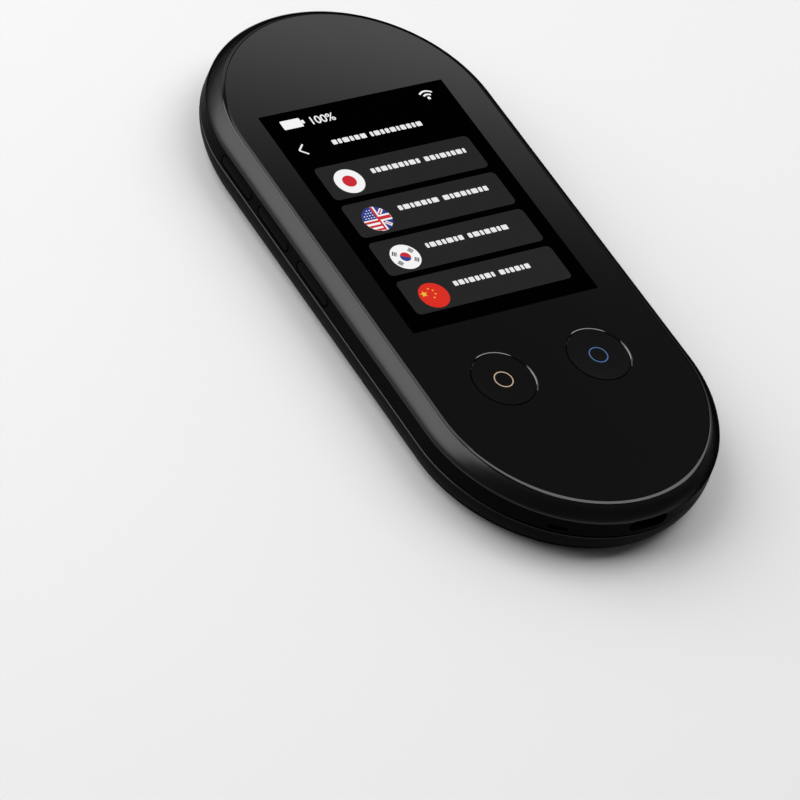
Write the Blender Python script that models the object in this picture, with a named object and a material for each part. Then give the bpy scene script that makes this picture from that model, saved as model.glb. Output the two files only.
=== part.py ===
"""Handheld translator: a flat pill-shaped device with a screen, two round front buttons and three side keys.

It lies on its back, screen up. X runs across it, +Y towards its top end, Z up through its thickness.
The origin is on the rear panel's outer face, in the middle of the body. Lengths are in metres.
"""
import math

import bmesh
import bpy
from mathutils import Vector

# Clearances
GAP = 0.0003
INLAY_GAP = 0.0001
OVERRUN = 0.002

# Screen and the glass over it
ACTIVE_WIDTH = 0.0432
ACTIVE_LENGTH = 0.0576
GLASS_SIDE_MARGIN = 0.0061
GLASS_LENGTH = 0.1284
HEAD_MARGIN_SHARE = 0.3263
GLASS_THICKNESS = 0.0011
DISPLAY_SIDE_BORDER = 0.0024
DISPLAY_TOP_BORDER = 0.0030
DISPLAY_FOOT_BORDER = 0.0061
DISPLAY_THICKNESS = 0.0023
DISPLAY_CORNER = 0.0010

# Stack of the housing, from the rear panel up
PANEL_THICKNESS = 0.0008
FLOOR_THICKNESS = 0.0010
BATTERY_THICKNESS = 0.0045
CHASSIS_THICKNESS = 0.0010
BOSS_HEIGHT = 0.00295
BOARD_THICKNESS = 0.0009
PARTING_RISE = 0.0038

# Front shell
SHELL_WALL = 0.0013
SHELL_OVERHANG = 0.0033
RIM_CHAMFER = 0.00055
SHOULDER_HEIGHT = 0.0024
BAND_DRAFT = 0.0002
PARTING_CHAMFER = 0.0002
LEDGE_THICKNESS = 0.0006
LEDGE_CLEARANCE = 0.0022
FRONT_POWER_SHARE = 1.35

# Rear shell and its panel
PANEL_SIDE_MARGIN = 0.0004
PANEL_END_MARGIN = 0.0037
PANEL_SHIFT = 0.0034
PANEL_LIP = 0.0001
REAR_POWER_SHARE = 2.0
SLOPE_WALL = 0.0009
CAVITY_INSET = 0.0010
LIP_HEIGHT = 0.0010
LIP_THICKNESS = 0.0008

# Round buttons on the front
BUTTON_DIAMETER = 0.0124
BUTTON_PITCH = 0.0219
BUTTON_DROP = 0.0149
BUTTON_EDGE = 0.0004
BUTTON_DISH = 0.0001
BUTTON_FLANGE_RIM = 0.0008
BUTTON_FLANGE_THICKNESS = 0.0006
BUTTON_STEM_DIAMETER = 0.0040
BUTTON_STEM_LENGTH = 0.0008
BUTTON_TRAVEL = 0.0005
PRESS_ROOM = 0.0002
ICON_DIAMETER = 0.0038
ICON_WIDTH = 0.00036
ICON_DEPTH = 0.0004
SWITCH_SIDE = 0.0060
SWITCH_CAP_DIAMETER = 0.0030
SWITCH_CAP_SHARE = 0.25

# Keys on the left side
KEY_LENGTH = 0.0110
KEY_HEIGHT = 0.0022
KEY_BRIDGE = 0.0003
KEY_SLACK = 0.0002
KEY_EDGE = 0.0003
KEY_FLANGE_RIM = 0.0008
KEY_FLANGE_THICKNESS = 0.0006
KEY_NUB_DIAMETER = 0.0020
KEY_NUB_LENGTH = 0.0004
KEY_TRAVEL = 0.0004
KEY_SETBACKS = (("power", 0.0358), ("volume_up", 0.0496), ("volume_down", 0.0642))
SIDE_SWITCH_LENGTH = 0.0046
SIDE_SWITCH_HEIGHT = 0.0020
SIDE_SWITCH_DEPTH = 0.0017
SIDE_BOARD_THICKNESS = 0.0006
SIDE_BOARD_MARGIN = 0.0020

# Socket and microphone at the lower end
USB_WIDTH = 0.00894
USB_HEIGHT = 0.00326
USB_LENGTH = 0.0073
USB_WALL = 0.0003
USB_DEPTH = 0.0060
USB_TONGUE_WIDTH = 0.0067
USB_TONGUE_THICKNESS = 0.0007
USB_TONGUE_LENGTH = 0.0045
USB_MOUTH_WIDTH = 0.0086
USB_MOUTH_HEIGHT = 0.0025
MIC_SLOT_LENGTH = 0.0040
MIC_SLOT_HEIGHT = 0.0009
MIC_OFFSET = 0.0170
MIC_SIDE = 0.0026
MIC_HEIGHT = 0.0010
MIC_SETBACK = 0.0022

# Boards, battery and what is on them
BOARD_EDGE = 0.0045
BOARD_PAST_SCREEN = 0.0031
BATTERY_SIDE_CLEARANCE = 0.0015
BATTERY_LENGTH = 0.0400
BATTERY_CORNER = 0.0015
BOARD_TO_BATTERY = 0.0010
SHIELD_WIDTH = 0.0160
SHIELD_HEIGHT = 0.0015
SHIELD_CAMERA_GAP = 0.0028
SHIELD_SPEAKER_GAP = 0.00245
RIBBON_THICKNESS = 0.00015
RIBBON_WIDTH = 0.0120
RIBBON_BEND = 0.0008
RIBBON_LANDING = 0.0040
RIBBON_REST = 0.0003
LINK_WIDTH = 0.0030
LINK_LANDING = 0.0035
ANTENNA_WIDTH = 0.0200
ANTENNA_LENGTH_SHARE = 0.392
ANTENNA_THICKNESS = 0.0002
ANTENNA_SETBACK_SHARE = 0.245

# Camera and loudspeaker behind the rear panel
CAMERA_BATTERY_GAP = 0.00115
CAMERA_RING_DIAMETER = 0.0092
CAMERA_RING_BORE = 0.0066
CAMERA_RING_FLARE = 0.0005
CAMERA_RING_RECESS = 0.0001
CAMERA_WINDOW_RECESS = 0.0003
CAMERA_BARREL_DIAMETER = 0.0046
CAMERA_BODY_SIDE = 0.0085
CAMERA_BODY_HEIGHT = 0.0024
SPEAKER_SLOT_RADII = (0.0195, 0.0160)
SPEAKER_SLOT_WIDTH = 0.0012
SPEAKER_SLOT_HALF_ANGLE = math.radians(27)
SPEAKER_WIDTH = 0.0220
SPEAKER_LENGTH = 0.0120
SPEAKER_RIM = 0.0020
MESH_THICKNESS = 0.0003
MESH_MARGIN = 0.0013

# Screws that hold the two halves together
LOWER_SCREW_INSET = 0.0115
LOWER_SCREW_SETBACK = 0.0245
UPPER_SCREW_SPEAKER_GAP = 0.0060
UPPER_SCREW_SETBACK = 0.0235
SCREW_SHANK_DIAMETER = 0.0012
SCREW_HEAD_DIAMETER = 0.0032
SCREW_HEAD_HEIGHT = 0.0006
SCREW_BITE = 0.0008
BOSS_WALL = 0.0014
CHASSIS_EDGE = 0.0004

# Fineness of the round forms, in steps
END_STEPS = 32
SECTION_STEPS = 6
DISC_STEPS = 32
SMALL_STEPS = 16
CORNER_STEPS = 5

# Derived sizes and heights
glass_half_width = ACTIVE_WIDTH / 2 + GLASS_SIDE_MARGIN
glass_half_length = GLASS_LENGTH / 2
body_half_width = glass_half_width + SHELL_OVERHANG
body_half_length = glass_half_length + SHELL_OVERHANG
floor_bottom = PANEL_THICKNESS + GAP
floor_top = floor_bottom + FLOOR_THICKNESS
boss_top = floor_top + BOSS_HEIGHT
board_bottom = boss_top + GAP
board_top = board_bottom + BOARD_THICKNESS
chassis_bottom = floor_top + GAP + BATTERY_THICKNESS + GAP
chassis_top = chassis_bottom + CHASSIS_THICKNESS
display_bottom = chassis_top + GAP
display_top = display_bottom + DISPLAY_THICKNESS
glass_bottom = display_top + GAP
glass_top = glass_bottom + GLASS_THICKNESS
ledge_bottom = display_top - LEDGE_THICKNESS
rim_foot = glass_top - RIM_CHAMFER
shoulder_foot = rim_foot - SHOULDER_HEIGHT
parting = floor_top + PARTING_RISE
shell_bottom = parting + GAP / 2
rear_top = parting - GAP / 2
active_head = glass_half_length - HEAD_MARGIN_SHARE * (GLASS_LENGTH - ACTIVE_LENGTH)
active_foot = active_head - ACTIVE_LENGTH
display_half_width = ACTIVE_WIDTH / 2 + DISPLAY_SIDE_BORDER
display_foot = active_foot - DISPLAY_FOOT_BORDER
display_head = active_head + DISPLAY_TOP_BORDER
display_half_length = (display_head - display_foot) / 2
display_centre_y = (display_head + display_foot) / 2
ledge_half_width = display_half_width + LEDGE_CLEARANCE
button_y = active_foot - BUTTON_DROP
key_z = shell_bottom + KEY_BRIDGE + KEY_SLACK + KEY_HEIGHT / 2
key_places = [(name, body_half_length - setback) for name, setback in KEY_SETBACKS]
usb_z = board_top + GAP + USB_HEIGHT / 2
mic_z = board_top + GAP + MIC_HEIGHT / 2
board_half_width = body_half_width - BOARD_EDGE
board_half_length = body_half_length - BOARD_EDGE
lower_board_end = display_foot + BOARD_PAST_SCREEN
battery_foot = lower_board_end + BOARD_TO_BATTERY
battery_head = battery_foot + BATTERY_LENGTH
main_board_start = battery_head + BOARD_TO_BATTERY
camera_y = battery_head + CAMERA_BATTERY_GAP + CAMERA_BODY_SIDE / 2
panel_half_width = glass_half_width - PANEL_SIDE_MARGIN
panel_half_length = glass_half_length - PANEL_END_MARGIN
slot_centre_y = panel_half_length - panel_half_width - PANEL_SHIFT
speaker_y = slot_centre_y + sum(SPEAKER_SLOT_RADII) / len(SPEAKER_SLOT_RADII)
lower_screw_x = body_half_width - LOWER_SCREW_INSET
lower_screw_y = LOWER_SCREW_SETBACK - body_half_length
upper_screw_x = SPEAKER_WIDTH / 2 + UPPER_SCREW_SPEAKER_GAP
upper_screw_y = body_half_length - UPPER_SCREW_SETBACK
screw_places = [
    (side * x, y)
    for x, y in ((lower_screw_x, lower_screw_y), (upper_screw_x, upper_screw_y))
    for side in (-1, 1)
]

COLOURS = {
    "shell": ((0.020, 0.020, 0.022), 0.38, 0.0),
    "glass": ((0.006, 0.006, 0.007), 0.05, 0.0),
    "button": ((0.012, 0.012, 0.013), 0.22, 0.0),
    "orange": ((0.85, 0.45, 0.16), 0.35, 0.0),
    "blue": ((0.10, 0.32, 0.85), 0.35, 0.0),
    "key": ((0.025, 0.025, 0.027), 0.40, 0.0),
    "steel": ((0.60, 0.60, 0.62), 0.30, 1.0),
    "display": ((0.03, 0.03, 0.035), 0.20, 0.0),
    "board": ((0.02, 0.16, 0.07), 0.45, 0.0),
    "ribbon": ((0.55, 0.28, 0.06), 0.40, 0.0),
    "battery": ((0.55, 0.56, 0.58), 0.35, 0.3),
    "chassis": ((0.30, 0.30, 0.31), 0.45, 0.6),
    "part": ((0.04, 0.04, 0.045), 0.50, 0.0),
    "lens": ((0.010, 0.012, 0.018), 0.04, 0.0),
}


def clear_scene():
    """Starts from an empty scene."""
    for thing in list(bpy.data.objects):
        bpy.data.objects.remove(thing, do_unlink=True)


def material(name):
    """The material of one finish, made once."""
    found = bpy.data.materials.get(name)
    if found:
        return found
    colour, roughness, metallic = COLOURS[name]
    made = bpy.data.materials.new(name)
    made.use_nodes = True
    shader = made.node_tree.nodes["Principled BSDF"]
    shader.inputs["Base Color"].default_value = (*colour, 1)
    shader.inputs["Roughness"].default_value = roughness
    shader.inputs["Metallic"].default_value = metallic
    return made


def solid(name, bm, finish, origin=(0, 0, 0)):
    """Makes an object of a closed mesh, with its origin at the given point."""
    bmesh.ops.recalc_face_normals(bm, faces=bm.faces)
    bmesh.ops.translate(bm, verts=bm.verts, vec=-Vector(origin))
    mesh = bpy.data.meshes.new(name)
    bm.to_mesh(mesh)
    bm.free()
    mesh.shade_smooth()
    mesh.set_sharp_from_angle(angle=math.radians(30))
    thing = bpy.data.objects.new(name, mesh)
    thing.location = origin
    thing.data.materials.append(material(finish))
    bpy.context.scene.collection.objects.link(thing)
    return thing


def combine(thing, tool_mesh, operation="DIFFERENCE"):
    """Cuts a tool's shape from the object, or joins it on. The tool stays as a hidden guide."""
    name = f"{thing.name}_tool_{len(thing.modifiers) + 1}"
    tool = solid(name, tool_mesh, "part")
    tool.hide_render = True
    tool.display_type = "WIRE"
    modifier = thing.modifiers.new(name, "BOOLEAN")
    modifier.operation = operation
    modifier.solver = "EXACT"
    modifier.object = tool
    return thing


def arc(centre_x, centre_y, radius, start, end, steps):
    """Points on a circle from one angle to another, both ends included."""
    angles = [start + (end - start) * i / steps for i in range(steps + 1)]
    return [(centre_x + radius * math.cos(a), centre_y + radius * math.sin(a)) for a in angles]


def pill(half_across, half_along, steps=END_STEPS):
    """Outline with two straight sides and two round ends; the long way is the second coordinate."""
    straight = half_along - half_across
    upper = arc(0, straight, half_across, 0, math.pi, steps)
    lower = arc(0, -straight, half_across, math.pi, 2 * math.pi, steps)
    return upper + lower


def rounded_rectangle(half_x, half_y, radius, steps=CORNER_STEPS):
    """Rectangle with round corners, about the origin."""
    points = []
    corners = ((1, 1), (-1, 1), (-1, -1), (1, -1))
    for i, (side_x, side_y) in enumerate(corners):
        start = i * math.pi / 2
        corner_x = side_x * (half_x - radius)
        corner_y = side_y * (half_y - radius)
        points += arc(corner_x, corner_y, radius, start, start + math.pi / 2, steps)
    return points


def end_plate(half_width, end_y, cut_y, steps=END_STEPS // 2):
    """Outline of a board that fills one round end, with a straight cut across it."""
    way = 1 if end_y > cut_y else -1
    centre_y = end_y - way * half_width
    round_end = arc(0, centre_y, half_width, 0, way * math.pi, steps)
    return round_end + [(-half_width, cut_y), (half_width, cut_y)]


def loft(rings, closed=False):
    """Solid through rings with equal counts of points. A closed loft joins the last ring to the first."""
    bm = bmesh.new()
    rows = [[bm.verts.new(point) for point in ring] for ring in rings]
    count = len(rows[0])
    pairs = list(zip(rows, rows[1:]))
    if closed:
        pairs.append((rows[-1], rows[0]))
    for lower, upper in pairs:
        for i in range(count):
            j = (i + 1) % count
            bm.faces.new((lower[i], lower[j], upper[j], upper[i]))
    if not closed:
        bm.faces.new(rows[0])
        bm.faces.new(rows[-1])
    return bm


def at_height(outline, z, centre=(0, 0)):
    """An outline in the XY plane, placed at a height."""
    return [(centre[0] + x, centre[1] + y, z) for x, y in outline]


def plate(outline, bottom, top, centre=(0, 0)):
    """Flat plate between two heights."""
    return loft([at_height(outline, bottom, centre), at_height(outline, top, centre)])


def block(half_x, half_y, bottom, top, centre=(0, 0)):
    """Plain box between two heights, used for cuts and small parts."""
    outline = [(half_x, half_y), (-half_x, half_y), (-half_x, -half_y), (half_x, -half_y)]
    return plate(outline, bottom, top, centre)


def turned(profile, centre, steps=DISC_STEPS, closed=False):
    """Turned solid from (radius, height) points about an upright axis."""
    rings = []
    for radius, height in profile:
        circle = arc(centre[0], centre[1], radius, 0, 2 * math.pi, steps)[:-1]
        rings.append([(x, y, height) for x, y in circle])
    return loft(rings, closed)


def drum(diameter, bottom, top, centre, steps=SMALL_STEPS):
    """Plain cylinder."""
    return turned([(diameter / 2, bottom), (diameter / 2, top)], centre, steps)


def front_overhang(z):
    """How far the front shell stands out from the glass edge at a height: a shoulder, then a steep band."""
    share = min(1, max(0, (rim_foot - z) / SHOULDER_HEIGHT))
    angle = math.acos((1 - share) ** (FRONT_POWER_SHARE / 2))
    rise = math.sin(angle) ** (2 / FRONT_POWER_SHARE)
    first = GAP + RIM_CHAMFER
    band_share = min(1, max(0, (shoulder_foot - z) / (shoulder_foot - parting)))
    last = SHELL_OVERHANG - BAND_DRAFT * (1 - band_share)
    return first + (last - first) * rise


def front_ring(overhang, z):
    """Ring round the body, that far out from the glass edge."""
    return at_height(pill(glass_half_width + overhang, glass_half_length + overhang), z)


def rear_outline(share, inset=0):
    """Half width, half length and shift of the rear shell, from its lip (0) to the parting line (1)."""
    lip = GAP + RIM_CHAMFER
    half_width = panel_half_width + lip + share * (body_half_width - panel_half_width - lip)
    half_length = panel_half_length + lip + share * (body_half_length - panel_half_length - lip)
    shift = -PANEL_SHIFT * (1 - share)
    return half_width - inset, half_length - inset, shift


def rear_share(z):
    """How far out the rear shell's wall has come at a height, as a share."""
    start = PANEL_LIP + RIM_CHAMFER
    level = min(1, max(0, (z - start) / (rear_top - start)))
    angle = math.acos((1 - level) ** (REAR_POWER_SHARE / 2))
    return math.sin(angle) ** (2 / REAR_POWER_SHARE)


def rear_ring(z, share, inset=0):
    """Ring of the rear shell at a height."""
    half_width, half_length, shift = rear_outline(share, inset)
    return at_height(pill(half_width, half_length), z, (0, shift))


def steps_between(first, last, count):
    """Evenly spaced values with both ends."""
    return [first + (last - first) * i / count for i in range(count + 1)]


def key_inner_face():
    """X of the key flange's outer face: the gap inside the wall at the top of the key's opening."""
    opening_top = key_z + KEY_HEIGHT / 2 + KEY_FLANGE_RIM
    wall_inside = glass_half_width + front_overhang(opening_top) - SHELL_WALL
    return -(wall_inside - GAP)


def side_ring(half_length, half_height, x, centre_y, steps=SMALL_STEPS // 2):
    """Pill-shaped ring standing upright, facing sideways."""
    return [(x, centre_y + along, key_z + up) for up, along in pill(half_height, half_length, steps)]


def front_shell():
    """Upper half of the housing: a ring with a ledge for the glass and openings in its wall."""
    rings = [front_ring(GAP, glass_top)]
    turns = steps_between(0, math.pi / 2, SECTION_STEPS)
    falls = [1 - math.cos(turn) ** (2 / FRONT_POWER_SHARE) for turn in turns]
    heights = [rim_foot - SHOULDER_HEIGHT * fall for fall in falls]
    heights.append(shell_bottom + PARTING_CHAMFER)
    rings += [front_ring(front_overhang(z), z) for z in heights]
    rings.append(front_ring(SHELL_OVERHANG - PARTING_CHAMFER, shell_bottom))
    inner_heights = steps_between(shell_bottom, ledge_bottom, SECTION_STEPS // 2)
    rings += [front_ring(front_overhang(z) - SHELL_WALL, z) for z in inner_heights]
    ledge = ledge_half_width - glass_half_width
    rings.append(front_ring(ledge, ledge_bottom))
    rings.append(front_ring(ledge, display_top))
    rings.append(front_ring(GAP, display_top))
    shell = solid("front_shell", loft(rings, closed=True), "shell")
    room = rounded_rectangle(display_half_width + GAP, display_half_length + GAP, DISPLAY_CORNER)
    combine(shell, plate(room, ledge_bottom - GAP, display_top + GAP, (0, display_centre_y)))
    for _, y in key_places:
        half_length = KEY_LENGTH / 2 + KEY_SLACK
        half_height = KEY_HEIGHT / 2 + KEY_SLACK
        outside = -(body_half_width + OVERRUN)
        inside = key_inner_face() + KEY_FLANGE_THICKNESS
        ends = [side_ring(half_length, half_height, x, y) for x in (outside, inside)]
        combine(shell, loft(ends))
    combine(shell, usb_mouth())
    combine(shell, mic_slot())
    return shell


def usb_prism(width, height, first_y, last_y, steps=SMALL_STEPS // 2):
    """A lying pill at the socket's height, run along Y."""
    outline = [(along, up) for up, along in pill(height / 2, width / 2, steps)]
    return loft([[(x, y, usb_z + up) for x, up in outline] for y in (first_y, last_y)])


def usb_front():
    """Y of the socket's front: inside the curved end wall, at the socket's corner."""
    wall = front_overhang(usb_z + USB_HEIGHT / 2) - SHELL_WALL
    radius = glass_half_width + wall
    centre_y = glass_half_length - glass_half_width
    reach = centre_y + math.sqrt(radius ** 2 - (USB_WIDTH / 2) ** 2)
    return -(reach - GAP)


def usb_mouth():
    """The opening for the plug in the end wall, in line with the socket behind it."""
    return usb_prism(USB_MOUTH_WIDTH, USB_MOUTH_HEIGHT, -(body_half_length + OVERRUN), usb_front())


def end_angle():
    """Direction from the lower end's centre to the microphone slot."""
    return math.asin(MIC_OFFSET / body_half_width)


def end_point(radius, along=0):
    """Point at a distance from the lower end's centre, in the microphone's direction, and sideways of it."""
    angle = end_angle()
    centre_y = -(glass_half_length - glass_half_width)
    x = -radius * math.sin(angle) + along * math.cos(angle)
    y = centre_y - radius * math.cos(angle) - along * math.sin(angle)
    return x, y


def mic_slot():
    """Short slot through the lower end wall in front of the microphone."""
    rings = []
    for radius in (body_half_width + OVERRUN, body_half_width - SHELL_WALL - OVERRUN):
        ring = []
        for up, along in pill(MIC_SLOT_HEIGHT / 2, MIC_SLOT_LENGTH / 2, SMALL_STEPS // 2):
            x, y = end_point(radius, along)
            ring.append((x, y, mic_z + up))
        rings.append(ring)
    return loft(rings)


def front_glass():
    """Cover glass with a round hole for each button."""
    outline = pill(glass_half_width, glass_half_length)
    glass = solid("front_glass", plate(outline, glass_bottom, glass_top), "glass")
    for side in (-1, 1):
        centre = (side * BUTTON_PITCH / 2, button_y)
        hole = BUTTON_DIAMETER + 2 * GAP
        combine(glass, drum(hole, glass_bottom - OVERRUN, glass_top + OVERRUN, centre, DISC_STEPS))
    return glass


def display_module():
    """Screen panel in its frame."""
    outline = rounded_rectangle(display_half_width, display_half_length, DISPLAY_CORNER)
    body = plate(outline, display_bottom, display_top, (0, display_centre_y))
    return solid("display_module", body, "display")


def display_ribbon():
    """Flat flexible cable: out of the screen's foot, down through the chassis and back onto the board."""
    start_y = display_foot - GAP
    top_z = display_bottom + RIBBON_REST + RIBBON_THICKNESS
    low_z = board_top + RIBBON_REST + RIBBON_THICKNESS / 2
    bend_y = start_y - RIBBON_BEND
    upper = arc(bend_y, top_z - RIBBON_BEND, RIBBON_BEND, math.pi / 2, math.pi, CORNER_STEPS)
    lower = arc(bend_y, low_z + RIBBON_BEND, RIBBON_BEND, math.pi, 1.5 * math.pi, CORNER_STEPS)
    line = [(start_y, top_z)] + upper + lower + [(start_y + RIBBON_LANDING, low_z)]
    half = RIBBON_THICKNESS / 2
    outer = []
    inner = []
    for i, (y, z) in enumerate(line):
        before = Vector(line[max(i - 1, 0)])
        after = Vector(line[min(i + 1, len(line) - 1)])
        way = (after - before).normalized()
        outer.append((y - way.y * half, z + way.x * half))
        inner.append((y + way.y * half, z - way.x * half))
    section = outer + inner[::-1]
    rings = [[(x, y, z) for y, z in section] for x in (-RIBBON_WIDTH / 2, RIBBON_WIDTH / 2)]
    return solid("display_ribbon", loft(rings), "ribbon")


def talk_button(side, name, icon):
    """Round cap with a dished top, a flange under the glass and a stem, and its coloured ring."""
    centre = (side * BUTTON_PITCH / 2, button_y)
    radius = BUTTON_DIAMETER / 2
    flange_top = glass_bottom - GAP
    flange_bottom = flange_top - BUTTON_FLANGE_THICKNESS
    stem_bottom = flange_bottom - BUTTON_STEM_LENGTH
    stem_radius = BUTTON_STEM_DIAMETER / 2
    dish = [
        (radius * share, glass_top - BUTTON_DISH * (1 - share ** 2))
        for share in (i / SECTION_STEPS for i in range(1, SECTION_STEPS))
    ]
    profile = dish + [
        (radius - BUTTON_EDGE, glass_top),
        (radius, glass_top - BUTTON_EDGE),
        (radius, flange_top),
        (radius + BUTTON_FLANGE_RIM, flange_top),
        (radius + BUTTON_FLANGE_RIM, flange_bottom),
        (stem_radius, flange_bottom),
        (stem_radius, stem_bottom),
    ]
    axis = (*centre, glass_top)
    cap = solid(f"{name}_talk_button", turned(profile, centre), "button", axis)
    outer = ICON_DIAMETER / 2
    inner = outer - ICON_WIDTH
    top = glass_top - BUTTON_DISH * (1 - (outer / radius) ** 2)
    bottom = top - ICON_DEPTH
    groove = [
        (outer + INLAY_GAP, top + OVERRUN),
        (outer + INLAY_GAP, bottom - INLAY_GAP),
        (inner - INLAY_GAP, bottom - INLAY_GAP),
        (inner - INLAY_GAP, top + OVERRUN),
    ]
    combine(cap, turned(groove, centre, closed=True))
    ring = [(outer, top), (outer, bottom), (inner, bottom), (inner, top)]
    solid(f"{name}_button_ring", turned(ring, centre, closed=True), icon, axis)
    switch_top = stem_bottom - BUTTON_TRAVEL - PRESS_ROOM
    switch_bottom = board_top + GAP
    body_top = switch_top - (switch_top - switch_bottom) * SWITCH_CAP_SHARE
    half = SWITCH_SIDE / 2
    switch = solid(f"{name}_button_switch", block(half, half, switch_bottom, body_top, centre), "part")
    overlap = (body_top - switch_bottom) / 2
    combine(switch, drum(SWITCH_CAP_DIAMETER, body_top - overlap, switch_top, centre), "UNION")
    return cap


def side_key(name, y):
    """Side key with a flange inside the wall, and the switch that it presses."""
    face = -body_half_width
    flange = key_inner_face()
    half_length = KEY_LENGTH / 2
    half_height = KEY_HEIGHT / 2
    rim_length = half_length + KEY_FLANGE_RIM
    rim_height = half_height + KEY_FLANGE_RIM - KEY_BRIDGE
    nub = KEY_NUB_DIAMETER / 2
    flange_back = flange + KEY_FLANGE_THICKNESS
    nub_end = flange_back + KEY_NUB_LENGTH
    sections = (
        (half_length - KEY_EDGE, half_height - KEY_EDGE, face),
        (half_length, half_height, face + KEY_EDGE),
        (half_length, half_height, flange),
        (rim_length, rim_height, flange),
        (rim_length, rim_height, flange_back),
        (nub, nub, flange_back),
        (nub, nub, nub_end),
    )
    rings = [side_ring(length, height, x, y) for length, height, x in sections]
    solid(f"{name}_key", loft(rings), "key", (face, y, key_z))
    near = nub_end + KEY_TRAVEL + PRESS_ROOM
    centre = (near + SIDE_SWITCH_DEPTH / 2, y)
    half = SIDE_SWITCH_HEIGHT / 2
    body = block(SIDE_SWITCH_DEPTH / 2, SIDE_SWITCH_LENGTH / 2, key_z - half, key_z + half, centre)
    solid(f"{name}_switch", body, "part")
    return near + SIDE_SWITCH_DEPTH


def side_keys():
    """The three keys, and the small upright board behind their switches."""
    backs = [side_key(name, y) for name, y in key_places]
    near = max(backs) + GAP
    places = [y for _, y in key_places]
    reach = KEY_LENGTH / 2 + SIDE_BOARD_MARGIN
    half_y = (max(places) - min(places)) / 2 + reach
    centre = (near + SIDE_BOARD_THICKNESS / 2, (max(places) + min(places)) / 2)
    half = SIDE_SWITCH_HEIGHT / 2
    body = block(SIDE_BOARD_THICKNESS / 2, half_y, key_z - half, key_z + half, centre)
    solid("side_key_board", body, "board")
    return near, half_y, centre[1]


def inner_chassis(board_x, board_half_y, board_y):
    """Plate between battery and screen, with bosses for the screws and windows for what passes it."""
    edge = front_overhang(chassis_top) - SHELL_WALL - CHASSIS_EDGE
    outline = pill(glass_half_width + edge, glass_half_length + edge)
    chassis = solid("inner_chassis", plate(outline, chassis_bottom, chassis_top), "chassis")
    for x, y in screw_places:
        diameter = SCREW_SHANK_DIAMETER + 2 * GAP + 2 * BOSS_WALL
        middle = (chassis_bottom + chassis_top) / 2
        combine(chassis, drum(diameter, board_top + GAP, middle, (x, y), DISC_STEPS // 2), "UNION")
    for x, y in screw_places:
        hole = SCREW_SHANK_DIAMETER + 2 * GAP
        combine(chassis, drum(hole, board_bottom, chassis_top + OVERRUN, (x, y)))
    low = chassis_bottom - OVERRUN
    high = chassis_top + OVERRUN
    notch_right = board_x + SIDE_BOARD_THICKNESS + GAP
    notch_left = -(body_half_width + OVERRUN)
    notch_centre = ((notch_left + notch_right) / 2, board_y)
    notch_half = (notch_right - notch_left) / 2
    combine(chassis, block(notch_half, board_half_y + GAP, low, high, notch_centre))
    for side in (-1, 1):
        window = SWITCH_SIDE * math.sqrt(2) + 2 * GAP
        combine(chassis, drum(window, low, high, (side * BUTTON_PITCH / 2, button_y), DISC_STEPS // 2))
    slot_front = display_foot - GAP - RIBBON_BEND - RIBBON_BEND - RIBBON_THICKNESS - GAP
    slot_back = display_foot
    slot_centre = (0, (slot_front + slot_back) / 2)
    combine(chassis, block(RIBBON_WIDTH / 2 + GAP, (slot_back - slot_front) / 2, low, high, slot_centre))
    usb_end = usb_front() + USB_LENGTH + GAP
    outer_end = -(body_half_length + OVERRUN)
    usb_centre = (0, (usb_end + outer_end) / 2)
    combine(chassis, block(USB_WIDTH / 2 + GAP, (usb_end - outer_end) / 2, low, high, usb_centre))
    mic_x, mic_y = end_point(mic_radius())
    half = MIC_SIDE / 2 * math.sqrt(2) + GAP
    combine(chassis, block(half, half, low, high, (mic_x, mic_y)))
    return chassis


def drilled_board(name, end_y, cut_y):
    """Circuit board that fills one end of the housing, with holes for its two screws."""
    outline = end_plate(board_half_width, end_y, cut_y)
    board = solid(name, plate(outline, board_bottom, board_top), "board")
    for x, y in screw_places:
        if (y > 0) == (end_y > 0):
            hole = SCREW_SHANK_DIAMETER + 2 * GAP
            combine(board, drum(hole, board_bottom - OVERRUN, board_top + OVERRUN, (x, y)))
    return board


def boards():
    """Lower board under the buttons, main board above the camera, and the ribbon between them."""
    drilled_board("lower_board", -board_half_length, lower_board_end)
    drilled_board("main_board", board_half_length, main_board_start)
    shield_x = CAMERA_BODY_SIDE / 2 + SHIELD_CAMERA_GAP + SHIELD_WIDTH / 2
    shield_foot = main_board_start + BOARD_TO_BATTERY
    shield_head = speaker_y - SPEAKER_LENGTH / 2 - SHIELD_SPEAKER_GAP
    shield_y = (shield_foot + shield_head) / 2
    outline = rounded_rectangle(SHIELD_WIDTH / 2, (shield_head - shield_foot) / 2, DISPLAY_CORNER)
    top = board_bottom - GAP
    body = plate(outline, top - SHIELD_HEIGHT, top, (shield_x, shield_y))
    solid("processor_shield", body, "steel")
    link_x = board_half_width - LINK_WIDTH / 2
    first = lower_board_end - LINK_LANDING
    last = main_board_start + LINK_LANDING
    bottom = board_top + RIBBON_REST
    centre = (link_x, (first + last) / 2)
    strip = block(LINK_WIDTH / 2, (last - first) / 2, bottom, bottom + RIBBON_THICKNESS, centre)
    solid("board_link_ribbon", strip, "ribbon")


def battery_pack():
    """Flat battery in the middle of the rear shell."""
    centre = (0, (battery_foot + battery_head) / 2)
    half_width = board_half_width - LINK_WIDTH - BATTERY_SIDE_CLEARANCE
    outline = rounded_rectangle(half_width, BATTERY_LENGTH / 2, BATTERY_CORNER)
    bottom = floor_top + GAP
    return solid("battery_pack", plate(outline, bottom, bottom + BATTERY_THICKNESS, centre), "battery")


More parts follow.
